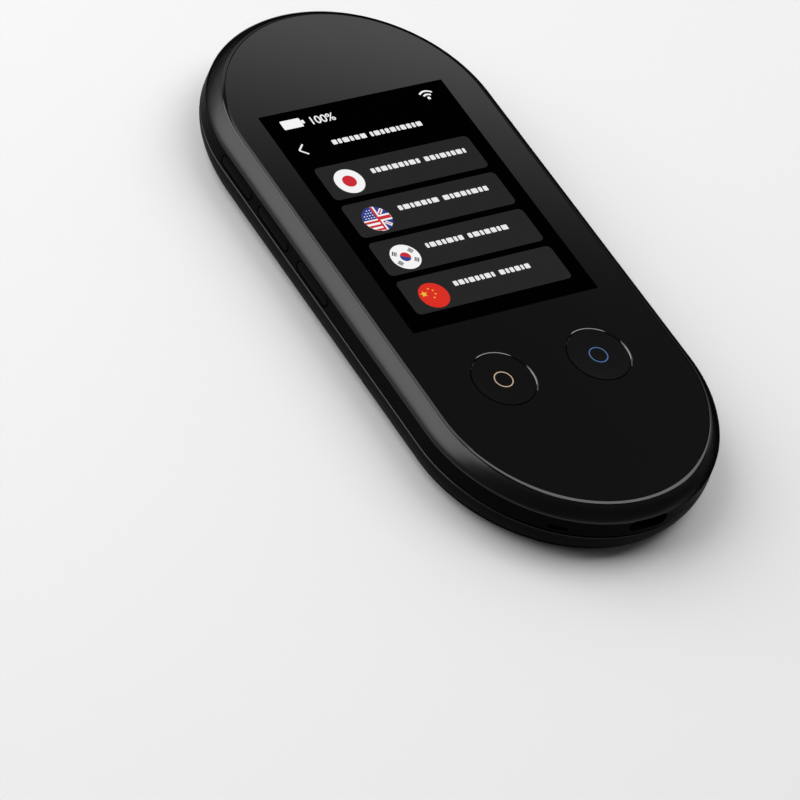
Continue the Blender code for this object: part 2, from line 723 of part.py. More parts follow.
def usb_socket():
    """Metal socket with an open mouth and a tongue in it."""
    front = usb_front()
    socket = solid("usb_socket", usb_prism(USB_WIDTH, USB_HEIGHT, front, front + USB_LENGTH), "steel")
    inside = (USB_WIDTH - 2 * USB_WALL, USB_HEIGHT - 2 * USB_WALL)
    cavity = solid("usb_cavity", usb_prism(*inside, front - OVERRUN, front + USB_DEPTH), "part")
    tongue_front = front + USB_DEPTH - USB_TONGUE_LENGTH
    tongue_back = front + USB_DEPTH + OVERRUN
    centre = (0, (tongue_front + tongue_back) / 2)
    half = USB_TONGUE_THICKNESS / 2
    tongue = block(USB_TONGUE_WIDTH / 2, (tongue_back - tongue_front) / 2, usb_z - half, usb_z + half, centre)
    combine(cavity, tongue)
    cavity.hide_render = True
    cavity.display_type = "WIRE"
    modifier = socket.modifiers.new("mouth", "BOOLEAN")
    modifier.operation = "DIFFERENCE"
    modifier.solver = "EXACT"
    modifier.object = cavity
    return socket


def mic_radius():
    """Distance of the microphone from the lower end's centre."""
    return board_half_width - MIC_SETBACK


def microphone():
    """Small microphone can on the lower board, behind its slot."""
    half = MIC_SIDE / 2
    return solid("microphone", block(half, half, mic_z - MIC_HEIGHT / 2, mic_z + MIC_HEIGHT / 2,
                                     end_point(mic_radius())), "steel")


def wifi_antenna():
    """Thin aerial strip on the chassis beyond the screen."""
    room = glass_half_length - display_head
    length = room * ANTENNA_LENGTH_SHARE
    centre = (0, display_head + room * ANTENNA_SETBACK_SHARE + length / 2)
    outline = rounded_rectangle(ANTENNA_WIDTH / 2, length / 2, DISPLAY_CORNER)
    bottom = chassis_top + GAP
    return solid("wifi_antenna", plate(outline, bottom, bottom + ANTENNA_THICKNESS, centre), "ribbon")


def speaker_window_half():
    """Half width and half length of the window in the rear shell behind the slots."""
    return SPEAKER_WIDTH / 2 - SPEAKER_RIM, SPEAKER_LENGTH / 2 - SPEAKER_RIM


def loudspeaker():
    """Speaker box, and the dust mesh between it and the slots."""
    centre = (0, speaker_y)
    outline = rounded_rectangle(SPEAKER_WIDTH / 2, SPEAKER_LENGTH / 2, BATTERY_CORNER)
    solid("speaker_unit", plate(outline, floor_top + GAP, boss_top, centre), "part")
    half_x, half_y = speaker_window_half()
    outline = rounded_rectangle(half_x + MESH_MARGIN, half_y + MESH_MARGIN, DISPLAY_CORNER)
    solid("speaker_mesh", plate(outline, floor_bottom, floor_bottom + MESH_THICKNESS, centre), "steel")


def camera():
    """Metal ring, clear window and camera module, one behind the other."""
    centre = (0, camera_y)
    outer = CAMERA_RING_DIAMETER / 2
    bore = CAMERA_RING_BORE / 2
    ring_back = PANEL_THICKNESS
    profile = [
        (bore, ring_back),
        (outer, ring_back),
        (outer, CAMERA_RING_RECESS),
        (bore + CAMERA_RING_FLARE, CAMERA_RING_RECESS),
    ]
    solid("camera_ring", turned(profile, centre, closed=True), "steel")
    window = drum(2 * (bore - GAP), CAMERA_WINDOW_RECESS, PANEL_THICKNESS, centre, DISC_STEPS)
    solid("camera_window", window, "lens")
    base_bottom = boss_top - CAMERA_BODY_HEIGHT
    half = CAMERA_BODY_SIDE / 2
    module = solid("camera_module", block(half, half, base_bottom, boss_top, centre), "part")
    barrel_bottom = floor_bottom + GAP
    middle = (base_bottom + boss_top) / 2
    combine(module, drum(CAMERA_BARREL_DIAMETER, barrel_bottom, middle, centre, DISC_STEPS), "UNION")


def slot_cutter(radius):
    """Curved slot with round ends, concentric with the panel's upper end."""
    half = SPEAKER_SLOT_WIDTH / 2
    first = math.pi / 2 - SPEAKER_SLOT_HALF_ANGLE
    last = math.pi / 2 + SPEAKER_SLOT_HALF_ANGLE
    centre_y = slot_centre_y
    outline = arc(0, centre_y, radius + half, first, last, SMALL_STEPS)
    end_x = radius * math.cos(last)
    end_y = centre_y + radius * math.sin(last)
    outline += arc(end_x, end_y, half, last, last + math.pi, CORNER_STEPS)[1:-1]
    outline += arc(0, centre_y, radius - half, last, first, SMALL_STEPS)
    start_x = radius * math.cos(first)
    start_y = centre_y + radius * math.sin(first)
    outline += arc(start_x, start_y, half, first + math.pi, first + 2 * math.pi, CORNER_STEPS)[1:-1]
    return plate(outline, -OVERRUN, PANEL_THICKNESS + OVERRUN)


def rear_panel():
    """Flat glossy plate on the back, with the camera's hole and two speaker slots."""
    outline = pill(panel_half_width, panel_half_length)
    panel = solid("rear_panel", plate(outline, 0, PANEL_THICKNESS, (0, -PANEL_SHIFT)), "glass")
    hole = CAMERA_RING_DIAMETER + 2 * GAP
    combine(panel, drum(hole, -OVERRUN, PANEL_THICKNESS + OVERRUN, (0, camera_y), DISC_STEPS))
    for radius in SPEAKER_SLOT_RADII:
        combine(panel, slot_cutter(radius))
    return panel


def rear_shell(board_half_y, board_y):
    """Lower half of the housing: a tray with a pocket for the panel, a lip, screw bosses and openings."""
    pocket = at_height(pill(panel_half_width + GAP, panel_half_length + GAP), 0, (0, -PANEL_SHIFT))
    rings = [[(x, y, floor_bottom) for x, y, _ in pocket]]
    rings.append([(x, y, PANEL_LIP) for x, y, _ in pocket])
    heights = steps_between(PANEL_LIP + RIM_CHAMFER, rear_top - PARTING_CHAMFER, SECTION_STEPS)
    rings += [rear_ring(z, rear_share(z)) for z in heights]
    rings.append(rear_ring(rear_top, 1, PARTING_CHAMFER))
    lip_outer = front_overhang(shell_bottom + LIP_HEIGHT) - SHELL_WALL - GAP
    lip_inner = lip_outer - LIP_THICKNESS
    lip_top = rear_top + LIP_HEIGHT
    rings.append(front_ring(lip_outer, rear_top))
    rings.append(front_ring(lip_outer, lip_top))
    rings.append(front_ring(lip_inner, lip_top))
    rings.append(front_ring(lip_inner, rear_top))
    inner_heights = steps_between(rear_top - SLOPE_WALL, floor_top, SECTION_STEPS - 1)
    rings += [
        rear_ring(z, rear_share(z - SLOPE_WALL), CAVITY_INSET + SHELL_WALL)
        for z in inner_heights
    ]
    shell = solid("rear_shell", loft(rings), "shell")
    middle = (floor_bottom + floor_top) / 2
    hole = SCREW_SHANK_DIAMETER + 2 * GAP
    for place in screw_places:
        combine(shell, drum(hole + 2 * BOSS_WALL, middle, boss_top, place, DISC_STEPS // 2), "UNION")
    for place in screw_places:
        combine(shell, drum(hole, floor_bottom - OVERRUN, boss_top + OVERRUN, place))
        head = SCREW_HEAD_DIAMETER + 2 * GAP
        combine(shell, drum(head, floor_bottom - OVERRUN, floor_top, place, DISC_STEPS // 2))
    camera_hole = CAMERA_BARREL_DIAMETER + 2 * GAP
    combine(shell, drum(camera_hole, PANEL_THICKNESS, floor_top + OVERRUN, (0, camera_y), DISC_STEPS))
    half_x, half_y = speaker_window_half()
    centre = (0, speaker_y)
    outline = rounded_rectangle(half_x, half_y, DISPLAY_CORNER)
    combine(shell, plate(outline, PANEL_THICKNESS, floor_top + OVERRUN, centre))
    rim = MESH_MARGIN + GAP
    outline = rounded_rectangle(half_x + rim, half_y + rim, DISPLAY_CORNER)
    combine(shell, plate(outline, PANEL_THICKNESS, floor_bottom + MESH_THICKNESS + GAP, centre))
    lip_cut_top = lip_top + OVERRUN
    left = -(body_half_width + OVERRUN)
    right = -(glass_half_width + lip_inner - OVERRUN)
    centre = ((left + right) / 2, board_y)
    combine(shell, block((right - left) / 2, board_half_y, rear_top, lip_cut_top, centre))
    usb_half = USB_WIDTH / 2 + GAP
    end_y = -(body_half_length + OVERRUN)
    inner_y = usb_front() + USB_LENGTH
    centre = (0, (end_y + inner_y) / 2)
    combine(shell, block(usb_half, (inner_y - end_y) / 2, rear_top, lip_cut_top, centre))
    slot_x, slot_y = end_point(body_half_width)
    half = MIC_SLOT_LENGTH
    combine(shell, block(half, half, rear_top, lip_cut_top, (slot_x, slot_y)))
    return shell


def case_screws():
    """Screws that go through rear shell and board into the chassis."""
    head_radius = SCREW_HEAD_DIAMETER / 2
    shank_radius = SCREW_SHANK_DIAMETER / 2
    head_top = floor_top - GAP
    head_bottom = head_top - SCREW_HEAD_HEIGHT
    for number, place in enumerate(screw_places, 1):
        profile = [
            (head_radius, head_bottom),
            (head_radius, head_top),
            (shank_radius, head_top),
            (shank_radius, chassis_bottom + SCREW_BITE),
        ]
        solid(f"case_screw_{number}", turned(profile, place, SMALL_STEPS), "steel")


def main():
    clear_scene()
    front_shell()
    front_glass()
    display_module()
    display_ribbon()
    talk_button(-1, "left", "orange")
    talk_button(1, "right", "blue")
    board_x, board_half_y, board_y = side_keys()
    inner_chassis(board_x, board_half_y, board_y)
    boards()
    battery_pack()
    usb_socket()
    microphone()
    wifi_antenna()
    loudspeaker()
    camera()
    rear_panel()
    rear_shell(board_half_y, board_y)
    case_screws()


main()
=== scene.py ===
"""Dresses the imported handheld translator: housing, glass, buttons, keys, rear, screen, light, camera."""
import math

import bmesh
import bpy
from mathutils import Matrix, Vector


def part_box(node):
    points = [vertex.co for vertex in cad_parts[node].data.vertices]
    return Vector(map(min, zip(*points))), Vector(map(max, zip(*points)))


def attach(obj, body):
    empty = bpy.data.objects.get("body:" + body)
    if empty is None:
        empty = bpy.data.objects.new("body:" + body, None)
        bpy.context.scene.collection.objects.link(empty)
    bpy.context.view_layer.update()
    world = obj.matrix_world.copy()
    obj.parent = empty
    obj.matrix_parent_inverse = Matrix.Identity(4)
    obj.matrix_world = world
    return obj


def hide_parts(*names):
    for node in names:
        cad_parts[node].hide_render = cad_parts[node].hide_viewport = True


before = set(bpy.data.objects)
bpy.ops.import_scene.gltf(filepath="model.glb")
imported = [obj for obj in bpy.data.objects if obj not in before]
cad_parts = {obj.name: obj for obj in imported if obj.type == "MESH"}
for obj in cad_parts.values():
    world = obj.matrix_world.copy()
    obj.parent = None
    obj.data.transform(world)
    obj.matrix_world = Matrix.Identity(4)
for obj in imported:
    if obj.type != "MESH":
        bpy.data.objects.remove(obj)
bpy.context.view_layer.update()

# Housing and cover glass. Sizes are in metres
glass_low, glass_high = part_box("front_glass")
shell_low, shell_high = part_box("front_shell")
GAP = 0.0003
GLASS_HALF_WIDTH = glass_high.x
GLASS_HALF_LENGTH = glass_high.y
GLASS_TOP = glass_high.z
GLASS_BOTTOM = glass_low.z
GLASS_SINK = 0.00006
GLASS_EDGE = 0.00004
BODY_HALF_WIDTH = shell_high.x
BODY_HALF_LENGTH = shell_high.y
OVERHANG = BODY_HALF_WIDTH - GLASS_HALF_WIDTH
SHELL_BOTTOM = shell_low.z
SHELL_WALL = 0.0013
REAR_TOP = SHELL_BOTTOM - GAP
SEAM = 0.00012
EDGE = 0.00022
OVERRUN = 0.001
WALL_OVERRUN = 0.002

# Front shell: rim, shoulder, crease and band. Slopes are in degrees
RIM = 0.00055
RIM_DROP = 0.00024
RIM_DEPTH = 0.00045
RIM_FOOT_INSET = 0.0001
RIM_SLOPES = (10, 13, 16, 20, 24, 31)
SHOULDER_HEIGHT = 0.0024
CREASE = GLASS_TOP - RIM - SHOULDER_HEIGHT
PAINT_MARGIN = 0.00005
BAND_DRAFT = 0.0002
FRONT_POWER = 1.35
FRONT_START_SHARE = 0.08
SEAT_INSET = 0.0001
SEAT_DROP = 0.0002
LEDGE_HALF_WIDTH = 0.0262
LEDGE_THICKNESS = 0.0006

# Screen
SCREEN_TOP = GLASS_BOTTOM - GAP
SCREEN_HEAD = 0.0411
SCREEN_FOOT = -0.0165

# Talk buttons, with the bevel of their holes and the ring on each
BUTTON_RADIUS = 0.0062
BUTTON_X = 0.01095
BUTTON_Y = -0.0314
BUTTON_DISH = 0.00003
BUTTON_SINK = 0.0001
BUTTON_CENTRE_RADIUS = 0.0004
BUTTON_EDGE = 0.00005
BUTTON_EDGE_SHARE = 0.3
# Facing range of the cap's edge faces that get painted shade
BUTTON_EDGE_FACING = (0.1, 0.97)
BUTTON_FLANGE = 0.0008
BUTTON_FLANGE_THICKNESS = 0.0006
BUTTON_STEM_RADIUS = 0.0020
BUTTON_STEM_LENGTH = 0.0008
BEVEL_SLOPES = (14, 20, 27, 35, 43, 51)
BEVEL_STEP = 0.000065
BEVEL_FACING = (0.5, 0.98)
# Arcs round each hole, in degrees, where the bevel has a painted highlight; the taper narrows the
# highlight's ends
HIGHLIGHT_ARCS = ((46, 112), (-42, 16))
ARC_TAPER = 50
ARC_FULL_SLOPE = 0.94
ICON_RADIUS = 0.0019
ICON_WIDTH = 0.00019
ICON_CROWN_SHARE = 0.7
ICON_STAND = 0.00004
ICON_EDGE = 0.00002
ICON_DEPTH = 0.0002

# Side keys, by the place of each along the body
KEYS = {"power_key": 0.0317, "volume_up_key": 0.0179, "volume_down_key": 0.0033}
KEY_Z = 0.00765
KEY_HALF_LENGTH = 0.0055
KEY_HALF_HEIGHT = 0.0011
KEY_SLACK = 0.0002
KEY_EDGE = 0.00045
KEY_FLANGE = 0.0008
KEY_FLANGE_RISE = 0.0004
KEY_FLANGE_DEPTH = 0.0010
KEY_NUB_DEPTH = 0.0004
KEY_NUB_HALVES = (0.0010, 0.00099)
KEY_OPENING_X = -0.0285

# Socket. Its lip, from outside to inside, is (inset from the outside, distance behind the front)
USB_Z = 0.00818
USB_HALF_WIDTH = 0.00447
USB_HALF_HEIGHT = 0.00163
USB_WALL = 0.0003
USB_LIP = (
    (0, 0.00014), (0.00004, 0.00004), (0.00012, 0), (0.0002, 0), (0.00024, 0.00003), (USB_WALL, 0.00014),
)
MOUTH_HALF_WIDTH = 0.0043
MOUTH_HALF_HEIGHT = 0.00125
MOUTH_BACK_Y = -0.0650
TONGUE_SETBACK = 0.0015
TONGUE_WIDTH = 0.0067
TONGUE_THICKNESS = 0.0007
TONGUE_EDGE = 0.00015
CONTACT_COUNT = 12
CONTACT_PITCH = 0.0005
CONTACT_SIZE = (0.00025, 0.0030, 0.00006)
CONTACT_SETBACK = 0.0022
CONTACT_RISE = 0.00036

# Microphone slot
MIC_Z = 0.00705
MIC_OFFSET = 0.0170
MIC_DEPTH = 0.0033
MIC_HALF_LENGTH = 0.0020
MIC_HALF_HEIGHT = 0.00045

# Rear shell and its panel
panel_low, panel_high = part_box("rear_panel")
PANEL_HALF_WIDTH = panel_high.x
PANEL_HALF_LENGTH = (panel_high.y - panel_low.y) / 2
PANEL_SHIFT = -(panel_high.y + panel_low.y) / 2
PANEL_THICKNESS = panel_high.z
PANEL_LIP = 0.0001
PANEL_EDGE = 0.00025
PANEL_EDGE_SHARE = 0.29
POCKET_EDGE = 0.0001
REAR_POWER = 2.0
REAR_RIM_SHARES = ((0.35, 0.08), (0.72, 0.45))
LIP_HEIGHT = 0.0010
LIP_THICKNESS = 0.0008
LIP_FOOT = 0.0009
CAVITY_INSET = 0.0023
CAVITY_BEND_Z = 0.0026
CAVITY_BEND_WALL_Z = 0.0017
CAVITY_FLOOR_WALL_Z = 0.0012
FLOOR_THICKNESS = 0.0010
EDGE_FACING = 0.1
SLOPE_FACING = -0.4

# Speaker slots, and the outlines of the rooms that are cut in the rear shell
SLOT_CENTRE_Y = PANEL_HALF_LENGTH - PANEL_HALF_WIDTH - PANEL_SHIFT
SLOT_RADII = (0.0195, 0.0160)
SLOT_HALF_WIDTH = 0.0006
SLOT_HALF_ANGLE = math.radians(27)
SPEAKER_ROOM = ((0.0090, 0.0040), (-0.0090, 0.0040), (-0.0090, -0.0040), (0.0090, -0.0040))
KEY_ROOM = ((-0.0275, 0.0405), (-0.0275, -0.0055), (-0.0330, -0.0055), (-0.0330, 0.0405))
SOCKET_ROOM = ((0.0048, -0.0690), (-0.0048, -0.0690), (-0.0048, -0.0580), (0.0048, -0.0580))
ROOM_TOP = 0.0075
FLOOR_CUT_TOP = 0.0030

# Camera behind the panel. Its ring's edges are (inset, height) and (distance out from the bore, height), and
# the steps of its lens are (radius, height)
LENS_Y = 0.0269
LENS_HOLE_RADIUS = 0.0026
LENS_RING_OUTER = 0.0046
LENS_RING_BORE = 0.0033
LENS_RING_EDGE = ((0, 0.00022), (0.00004, 0.00014), (0.00012, 0.00010))
LENS_RING_FLARE = ((0.00062, 0.00010), (0.00052, 0.00013), (0.00012, 0.00042), (0, 0.00050))
LENS_STEPS = (
    (0.0004, 0.00045), (0.0008, 0.00042), (0.0009, 0.00036), (0.0013, 0.00036), (0.00135, 0.00031),
    (0.0019, 0.00031), (0.00195, 0.00036), (0.0025, 0.00036), (0.00255, 0.00031),
)
LENS_RIM_Z = 0.0003

# Fineness in steps, and the angles in degrees from which an edge stays sharp
END_STEPS = 96
STRAIGHT_STEPS = 48
SECTION_STEPS = 26
BAND_STEPS = 5
EDGE_STEPS = 4
KEY_EDGE_STEPS = 5
DISC_STEPS = 96
CAP_STEPS = 14
SMALL_STEPS = 64
WALL_STEPS = 24
MIC_STEPS = 16
SLOT_STEPS = 48
SLOT_END_STEPS = 12
BOX_STEPS = 10
BLOCK_STEPS = 4
SIGN_STEPS = 24
ARC_STEPS = 16
FIELD_STEPS = 12
DOT_STEPS = 10
SHARP_ANGLE = 35
RIM_ANGLE = 40
LENS_ANGLE = 20
FLAT_ANGLE = 12


# Camera of the scene
VIEW_PLACE = Vector((-0.46897, -0.41871, 0.56358))
VIEW_RIGHT = Vector((0.8134, -0.5071, 0.2852))
VIEW_BACK = Vector((-0.5424, -0.4839, 0.6867))
VIEW_LENS = 201.15
VIEW_SENSOR = 36
VIEW_NEAREST = 0.05


def turn_to(back, right):
    """Turn that points an object's Z along one direction and its X as near as it can to another."""
    up = back.cross(right).normalized()
    return Matrix((up.cross(back), up, back)).transposed().to_4x4()


def make_camera():
    data = bpy.data.cameras.new("camera")
    data.lens = VIEW_LENS
    data.sensor_width = VIEW_SENSOR
    data.clip_start = VIEW_NEAREST
    camera = bpy.data.objects.new("camera", data)
    camera.matrix_world = Matrix.Translation(VIEW_PLACE) @ turn_to(VIEW_BACK.normalized(), VIEW_RIGHT)
    bpy.context.scene.collection.objects.link(camera)
    bpy.context.scene.camera = camera


make_camera()


# Materials. Scales are per metre, spreads are shares of the value that they vary
FINE_DETAIL = 2.0
BROAD_SCALE = 60
BROAD_DETAIL = 4.0
MOULDED_GRAIN = 9000
MOULDED_BUMP = 0.10
METAL_GRAIN = 900
METAL_BUMP = 0.08
LACQUER_BUMP = 0.06
LACQUER_SPREAD = 0.06
SHEEN_SPREAD = (0.92, 1.08)
GLOSS_SPREAD = (0.8, 1.3)
GRAIN_DEPTH = 0.00002
WIPE_SCALE = 45
WIPE_DETAIL = 5.0
WIPE_STRETCH = (1, 0.35, 1)
SPUN_ROUGHNESS = 0.30
SPUN_GRAIN = 9000
SPUN_BUMP = 0.25
SPUN_DEPTH = 0.00003
LIT_ROUGHNESS = 0.12
LIT_SCALE = 2200
LIT_DIM_SHARE = 0.94


def new_material(name, colour, roughness, specular=0.5, metallic=0.0):
    made = bpy.data.materials.new(name)
    made.use_nodes = True
    shader = made.node_tree.nodes["Principled BSDF"]
    shader.inputs["Base Color"].default_value = (*colour, 1)
    shader.inputs["Roughness"].default_value = roughness
    shader.inputs["Specular IOR Level"].default_value = specular
    shader.inputs["Metallic"].default_value = metallic
    return made, made.node_tree, shader


def object_noise(tree, scale, detail=3.0, stretch=(1, 1, 1)):
    """Noise in the object's own coordinates, in metres."""
    place = tree.nodes.new("ShaderNodeTexCoord")
    mapping = tree.nodes.new("ShaderNodeMapping")
    mapping.inputs["Scale"].default_value = stretch
    noise = tree.nodes.new("ShaderNodeTexNoise")
    noise.inputs["Scale"].default_value = scale
    noise.inputs["Detail"].default_value = detail
    tree.links.new(place.outputs["Object"], mapping.inputs["Vector"])
    tree.links.new(mapping.outputs["Vector"], noise.inputs["Vector"])
    return noise


def ramp_between(tree, value, low, high, at_low=0.3, at_high=0.7):
    """Maps a value to a number between two ends."""
    node = tree.nodes.new("ShaderNodeMapRange")
    node.inputs["From Min"].default_value = at_low
    node.inputs["From Max"].default_value = at_high
    node.inputs["To Min"].default_value = low
    node.inputs["To Max"].default_value = high
    tree.links.new(value, node.inputs["Value"])
    return node.outputs["Result"]


def add_bump(tree, shader, value, strength, distance):
    bump = tree.nodes.new("ShaderNodeBump")
    bump.inputs["Strength"].default_value = strength
    bump.inputs["Distance"].default_value = distance
    tree.links.new(value, bump.inputs["Height"])
    tree.links.new(bump.outputs["Normal"], shader.inputs["Normal"])


def colour_mix(tree, factor, first, second):
    mix = tree.nodes.new("ShaderNodeMix")
    mix.data_type = "RGBA"
    mix.inputs["A"].default_value = (*first, 1)
    mix.inputs["B"].default_value = (*second, 1)
    tree.links.new(factor, mix.inputs["Factor"])
    return mix.outputs["Result"]


def vary(tree, shader, value, dark, light, roughness, spread):
    """Lets a value between 0 and 1 drive the colour and the roughness."""
    tree.links.new(colour_mix(tree, value, dark, light), shader.inputs["Base Color"])
    low, high = (roughness * share for share in spread)
    tree.links.new(ramp_between(tree, value, low, high), shader.inputs["Roughness"])


def grained(tree, shader, dark, light, roughness, grain, bump):
    """Fine grain in the surface, and a slight change of colour and sheen over its length."""
    fine = object_noise(tree, grain, FINE_DETAIL)
    broad = object_noise(tree, BROAD_SCALE, BROAD_DETAIL)
    vary(tree, shader, broad.outputs["Fac"], dark, light, roughness, SHEEN_SPREAD)
    add_bump(tree, shader, fine.outputs["Fac"], bump, GRAIN_DEPTH)


def lacquer(name, mirror, roughness, grazing, grain=MOULDED_GRAIN, bump=LACQUER_BUMP):
    """Black lacquer: it mirrors a fixed small share of the light, and little more at a flat angle."""
    made, tree, shader = new_material(name, (mirror,) * 3, roughness, 0.5, 1.0)
    shader.inputs["Specular Tint"].default_value = (grazing, grazing, grazing, 1)
    dark = (mirror * (1 - LACQUER_SPREAD),) * 3
    light = (mirror * (1 + LACQUER_SPREAD),) * 3
    grained(tree, shader, dark, light, roughness, grain, bump)
    return made


def moulded(name, dark, light, roughness, specular, grain=MOULDED_GRAIN, bump=MOULDED_BUMP):
    """Moulded plastic with its grain."""
    made, tree, shader = new_material(name, dark, roughness, specular)
    grained(tree, shader, dark, light, roughness, grain, bump)
    return made


def polished(name, dark, light, roughness, specular):
    """Glossy surface with faint wipe marks in its sheen."""
    made, tree, shader = new_material(name, dark, roughness, specular)
    wipes = object_noise(tree, WIPE_SCALE, WIPE_DETAIL, WIPE_STRETCH)
    vary(tree, shader, wipes.outputs["Fac"], dark, light, roughness, GLOSS_SPREAD)
    return made


def metal(name, dark, light, roughness, stretch=(1, 1, 1), grain=METAL_GRAIN):
    """Metal with a grain, which a stretch under 1 draws out along that way."""
    made, tree, shader = new_material(name, dark, roughness, 0.5, 1.0)
    lines = object_noise(tree, grain, BROAD_DETAIL, stretch)
    vary(tree, shader, lines.outputs["Fac"], dark, light, roughness, GLOSS_SPREAD)
    add_bump(tree, shader, lines.outputs["Fac"], METAL_BUMP, GRAIN_DEPTH)
    return made


def spun(name, dark, light, centre_y):
    """Metal turned about an upright axis: fine rings."""
    made, tree, shader = new_material(name, dark, SPUN_ROUGHNESS, 0.5, 1.0)
    place = tree.nodes.new("ShaderNodeTexCoord")
    mapping = tree.nodes.new("ShaderNodeMapping")
    mapping.inputs["Location"].default_value = (0, -centre_y, 0)
    mapping.inputs["Scale"].default_value = (1, 1, 0)
    length = tree.nodes.new("ShaderNodeVectorMath")
    length.operation = "LENGTH"
    noise = tree.nodes.new("ShaderNodeTexNoise")
    noise.noise_dimensions = "1D"
    noise.inputs["Scale"].default_value = SPUN_GRAIN
    noise.inputs["Detail"].default_value = FINE_DETAIL
    tree.links.new(place.outputs["Object"], mapping.inputs["Vector"])
    tree.links.new(mapping.outputs["Vector"], length.inputs[0])
    tree.links.new(length.outputs["Value"], noise.inputs["W"])
    tree.links.new(colour_mix(tree, noise.outputs["Fac"], dark, light), shader.inputs["Base Color"])
    add_bump(tree, shader, noise.outputs["Fac"], SPUN_BUMP, SPUN_DEPTH)
    return made


def lit(name, colour, strength=1.0, specular=0.0):
    """A mark that gives its own light, in columns as fine as a screen's."""
    made, tree, shader = new_material(name, (0.0, 0.0, 0.0), LIT_ROUGHNESS, specular)
    place = tree.nodes.new("ShaderNodeTexCoord")
    wave = tree.nodes.new("ShaderNodeTexWave")
    wave.bands_direction = "X"
    wave.inputs["Scale"].default_value = LIT_SCALE
    tree.links.new(place.outputs["Object"], wave.inputs["Vector"])
    dimmer = tuple(c * LIT_DIM_SHARE for c in colour)
    tree.links.new(colour_mix(tree, wave.outputs["Fac"], dimmer, colour), shader.inputs["Emission Color"])
    shader.inputs["Emission Strength"].default_value = strength
    return made


SHELL = lacquer("shell_lacquer", 0.036, 0.30, 0.10)
# Near-black finish with almost no reflection: painted shade for the front band below the crease, the dark
# parts of the holes' bevels and the buttons' edges
PAINTED_SHADE = moulded("painted_shade_matt", (0.0022, 0.0022, 0.0024), (0.0030, 0.0030, 0.0032), 0.42, 0.01)
# Dark finish with almost no reflection for the rear shell's steep wall: painted shade in place of the
# lacquer's reflection
LOWER_PAINTED_SHADE = moulded("lower_painted_shade", (0.0036, 0.0036, 0.0038), (0.0050, 0.0050, 0.0053), 0.45, 0.02)
# Side keys: dark with almost no reflection, painted shade like the band they sit in
KEY_PAINTED_SHADE = moulded("key_painted_shade", (0.0028, 0.0028, 0.0030), (0.0038, 0.0038, 0.0040), 0.36, 0.01)
DEEP = moulded("inside_moulded", (0.004, 0.004, 0.004), (0.006, 0.006, 0.006), 0.6, 0.2)
RIM_MATERIAL = lacquer("rim_polished", 0.045, 0.12, 0.10, 4000, 0.02)
GLASS = polished("glass_black", (0.0015, 0.0015, 0.0017), (0.0022, 0.0022, 0.0024), 0.045, 0.5)
# Bright mirror for the painted highlight on the arcs of the buttons' holes
BEVEL_HIGHLIGHT = lacquer("bevel_painted_highlight", 0.09, 0.10, 0.20, 4000, 0.01)
BUTTON = polished("button_black", (0.0015, 0.0015, 0.0017), (0.0022, 0.0022, 0.0024), 0.07, 0.5)
REAR_GLOSS = polished("rear_gloss_black", (0.0020, 0.0020, 0.0022), (0.0030, 0.0030, 0.0032), 0.06, 0.5)
SCREEN_BLACK = polished("screen_black", (0.0002, 0.0002, 0.0002), (0.0004, 0.0004, 0.0004), 0.10, 0.0)
STEEL = metal("stamped_steel", (0.36, 0.36, 0.37), (0.50, 0.50, 0.51), 0.28, (1, 0.2, 1))
# Speaker mesh kept very dark, so that the slots in the panel read dark
MESH = metal("mesh_dark", (0.012, 0.012, 0.012), (0.022, 0.022, 0.022), 0.5, (1, 1, 1), 6000)
SPUN = spun("camera_spun", (0.10, 0.10, 0.105), (0.20, 0.20, 0.205), LENS_Y)
LENS = polished("lens_coated", (0.004, 0.005, 0.009), (0.006, 0.007, 0.012), 0.03, 0.6)
ORANGE = lit("orange_lit", (0.60, 0.44, 0.30), 1.0, 0.2)
BLUE = lit("blue_lit", (0.075, 0.16, 0.36), 1.0, 0.2)
CARD = lit("card_grey", (0.0205, 0.0205, 0.0210))
WHITE = lit("mark_white", (0.93, 0.93, 0.93))
TEXT_WHITE = lit("bar_white", (0.84, 0.84, 0.84))
RED = lit("mark_red", (0.60, 0.026, 0.038))
WARM_RED = lit("mark_warm_red", (0.72, 0.031, 0.019))
NAVY = lit("mark_navy", (0.035, 0.055, 0.26))
YELLOW = lit("mark_yellow", (0.85, 0.55, 0.05))
BOARD = moulded("solder_mask", (0.010, 0.085, 0.035), (0.016, 0.12, 0.05), 0.35, 0.5, 3000, 0.1)
FILM = moulded("polyimide_film", (0.30, 0.12, 0.02), (0.40, 0.18, 0.035), 0.30, 0.5, 1500, 0.05)
PART = moulded("component_moulded", (0.012, 0.012, 0.013), (0.020, 0.020, 0.022), 0.5, 0.4, 4000, 0.15)
FOIL = metal("battery_foil", (0.42, 0.43, 0.45), (0.60, 0.61, 0.63), 0.35, (1, 1, 1), 300)
CAST = metal("chassis_cast", (0.20, 0.20, 0.21), (0.30, 0.30, 0.31), 0.45, (1, 1, 1), 2500)

NODE_MATERIALS = {
    "display_module": SCREEN_BLACK, "display_ribbon": FILM, "board_link_ribbon": FILM, "wifi_antenna": FILM,
    "left_button_switch": PART, "right_button_switch": PART, "power_switch": PART, "volume_up_switch": PART,
    "volume_down_switch": PART, "speaker_unit": PART, "camera_module": PART, "side_key_board": BOARD,
    "lower_board": BOARD, "main_board": BOARD, "inner_chassis": CAST, "battery_pack": FOIL,
    "processor_shield": STEEL, "microphone": STEEL, "speaker_mesh": MESH,
    "case_screw_1": STEEL, "case_screw_2": STEEL, "case_screw_3": STEEL, "case_screw_4": STEEL,
}
for node_name, node_material in NODE_MATERIALS.items():
    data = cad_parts[node_name].data
    data.materials.clear()
    data.materials.append(node_material)


# Mesh code
def arc(centre_x, centre_y, radius, start, end, steps):
    angles = [start + (end - start) * i / steps for i in range(steps + 1)]
    return [(centre_x + radius * math.cos(a), centre_y + radius * math.sin(a)) for a in angles]


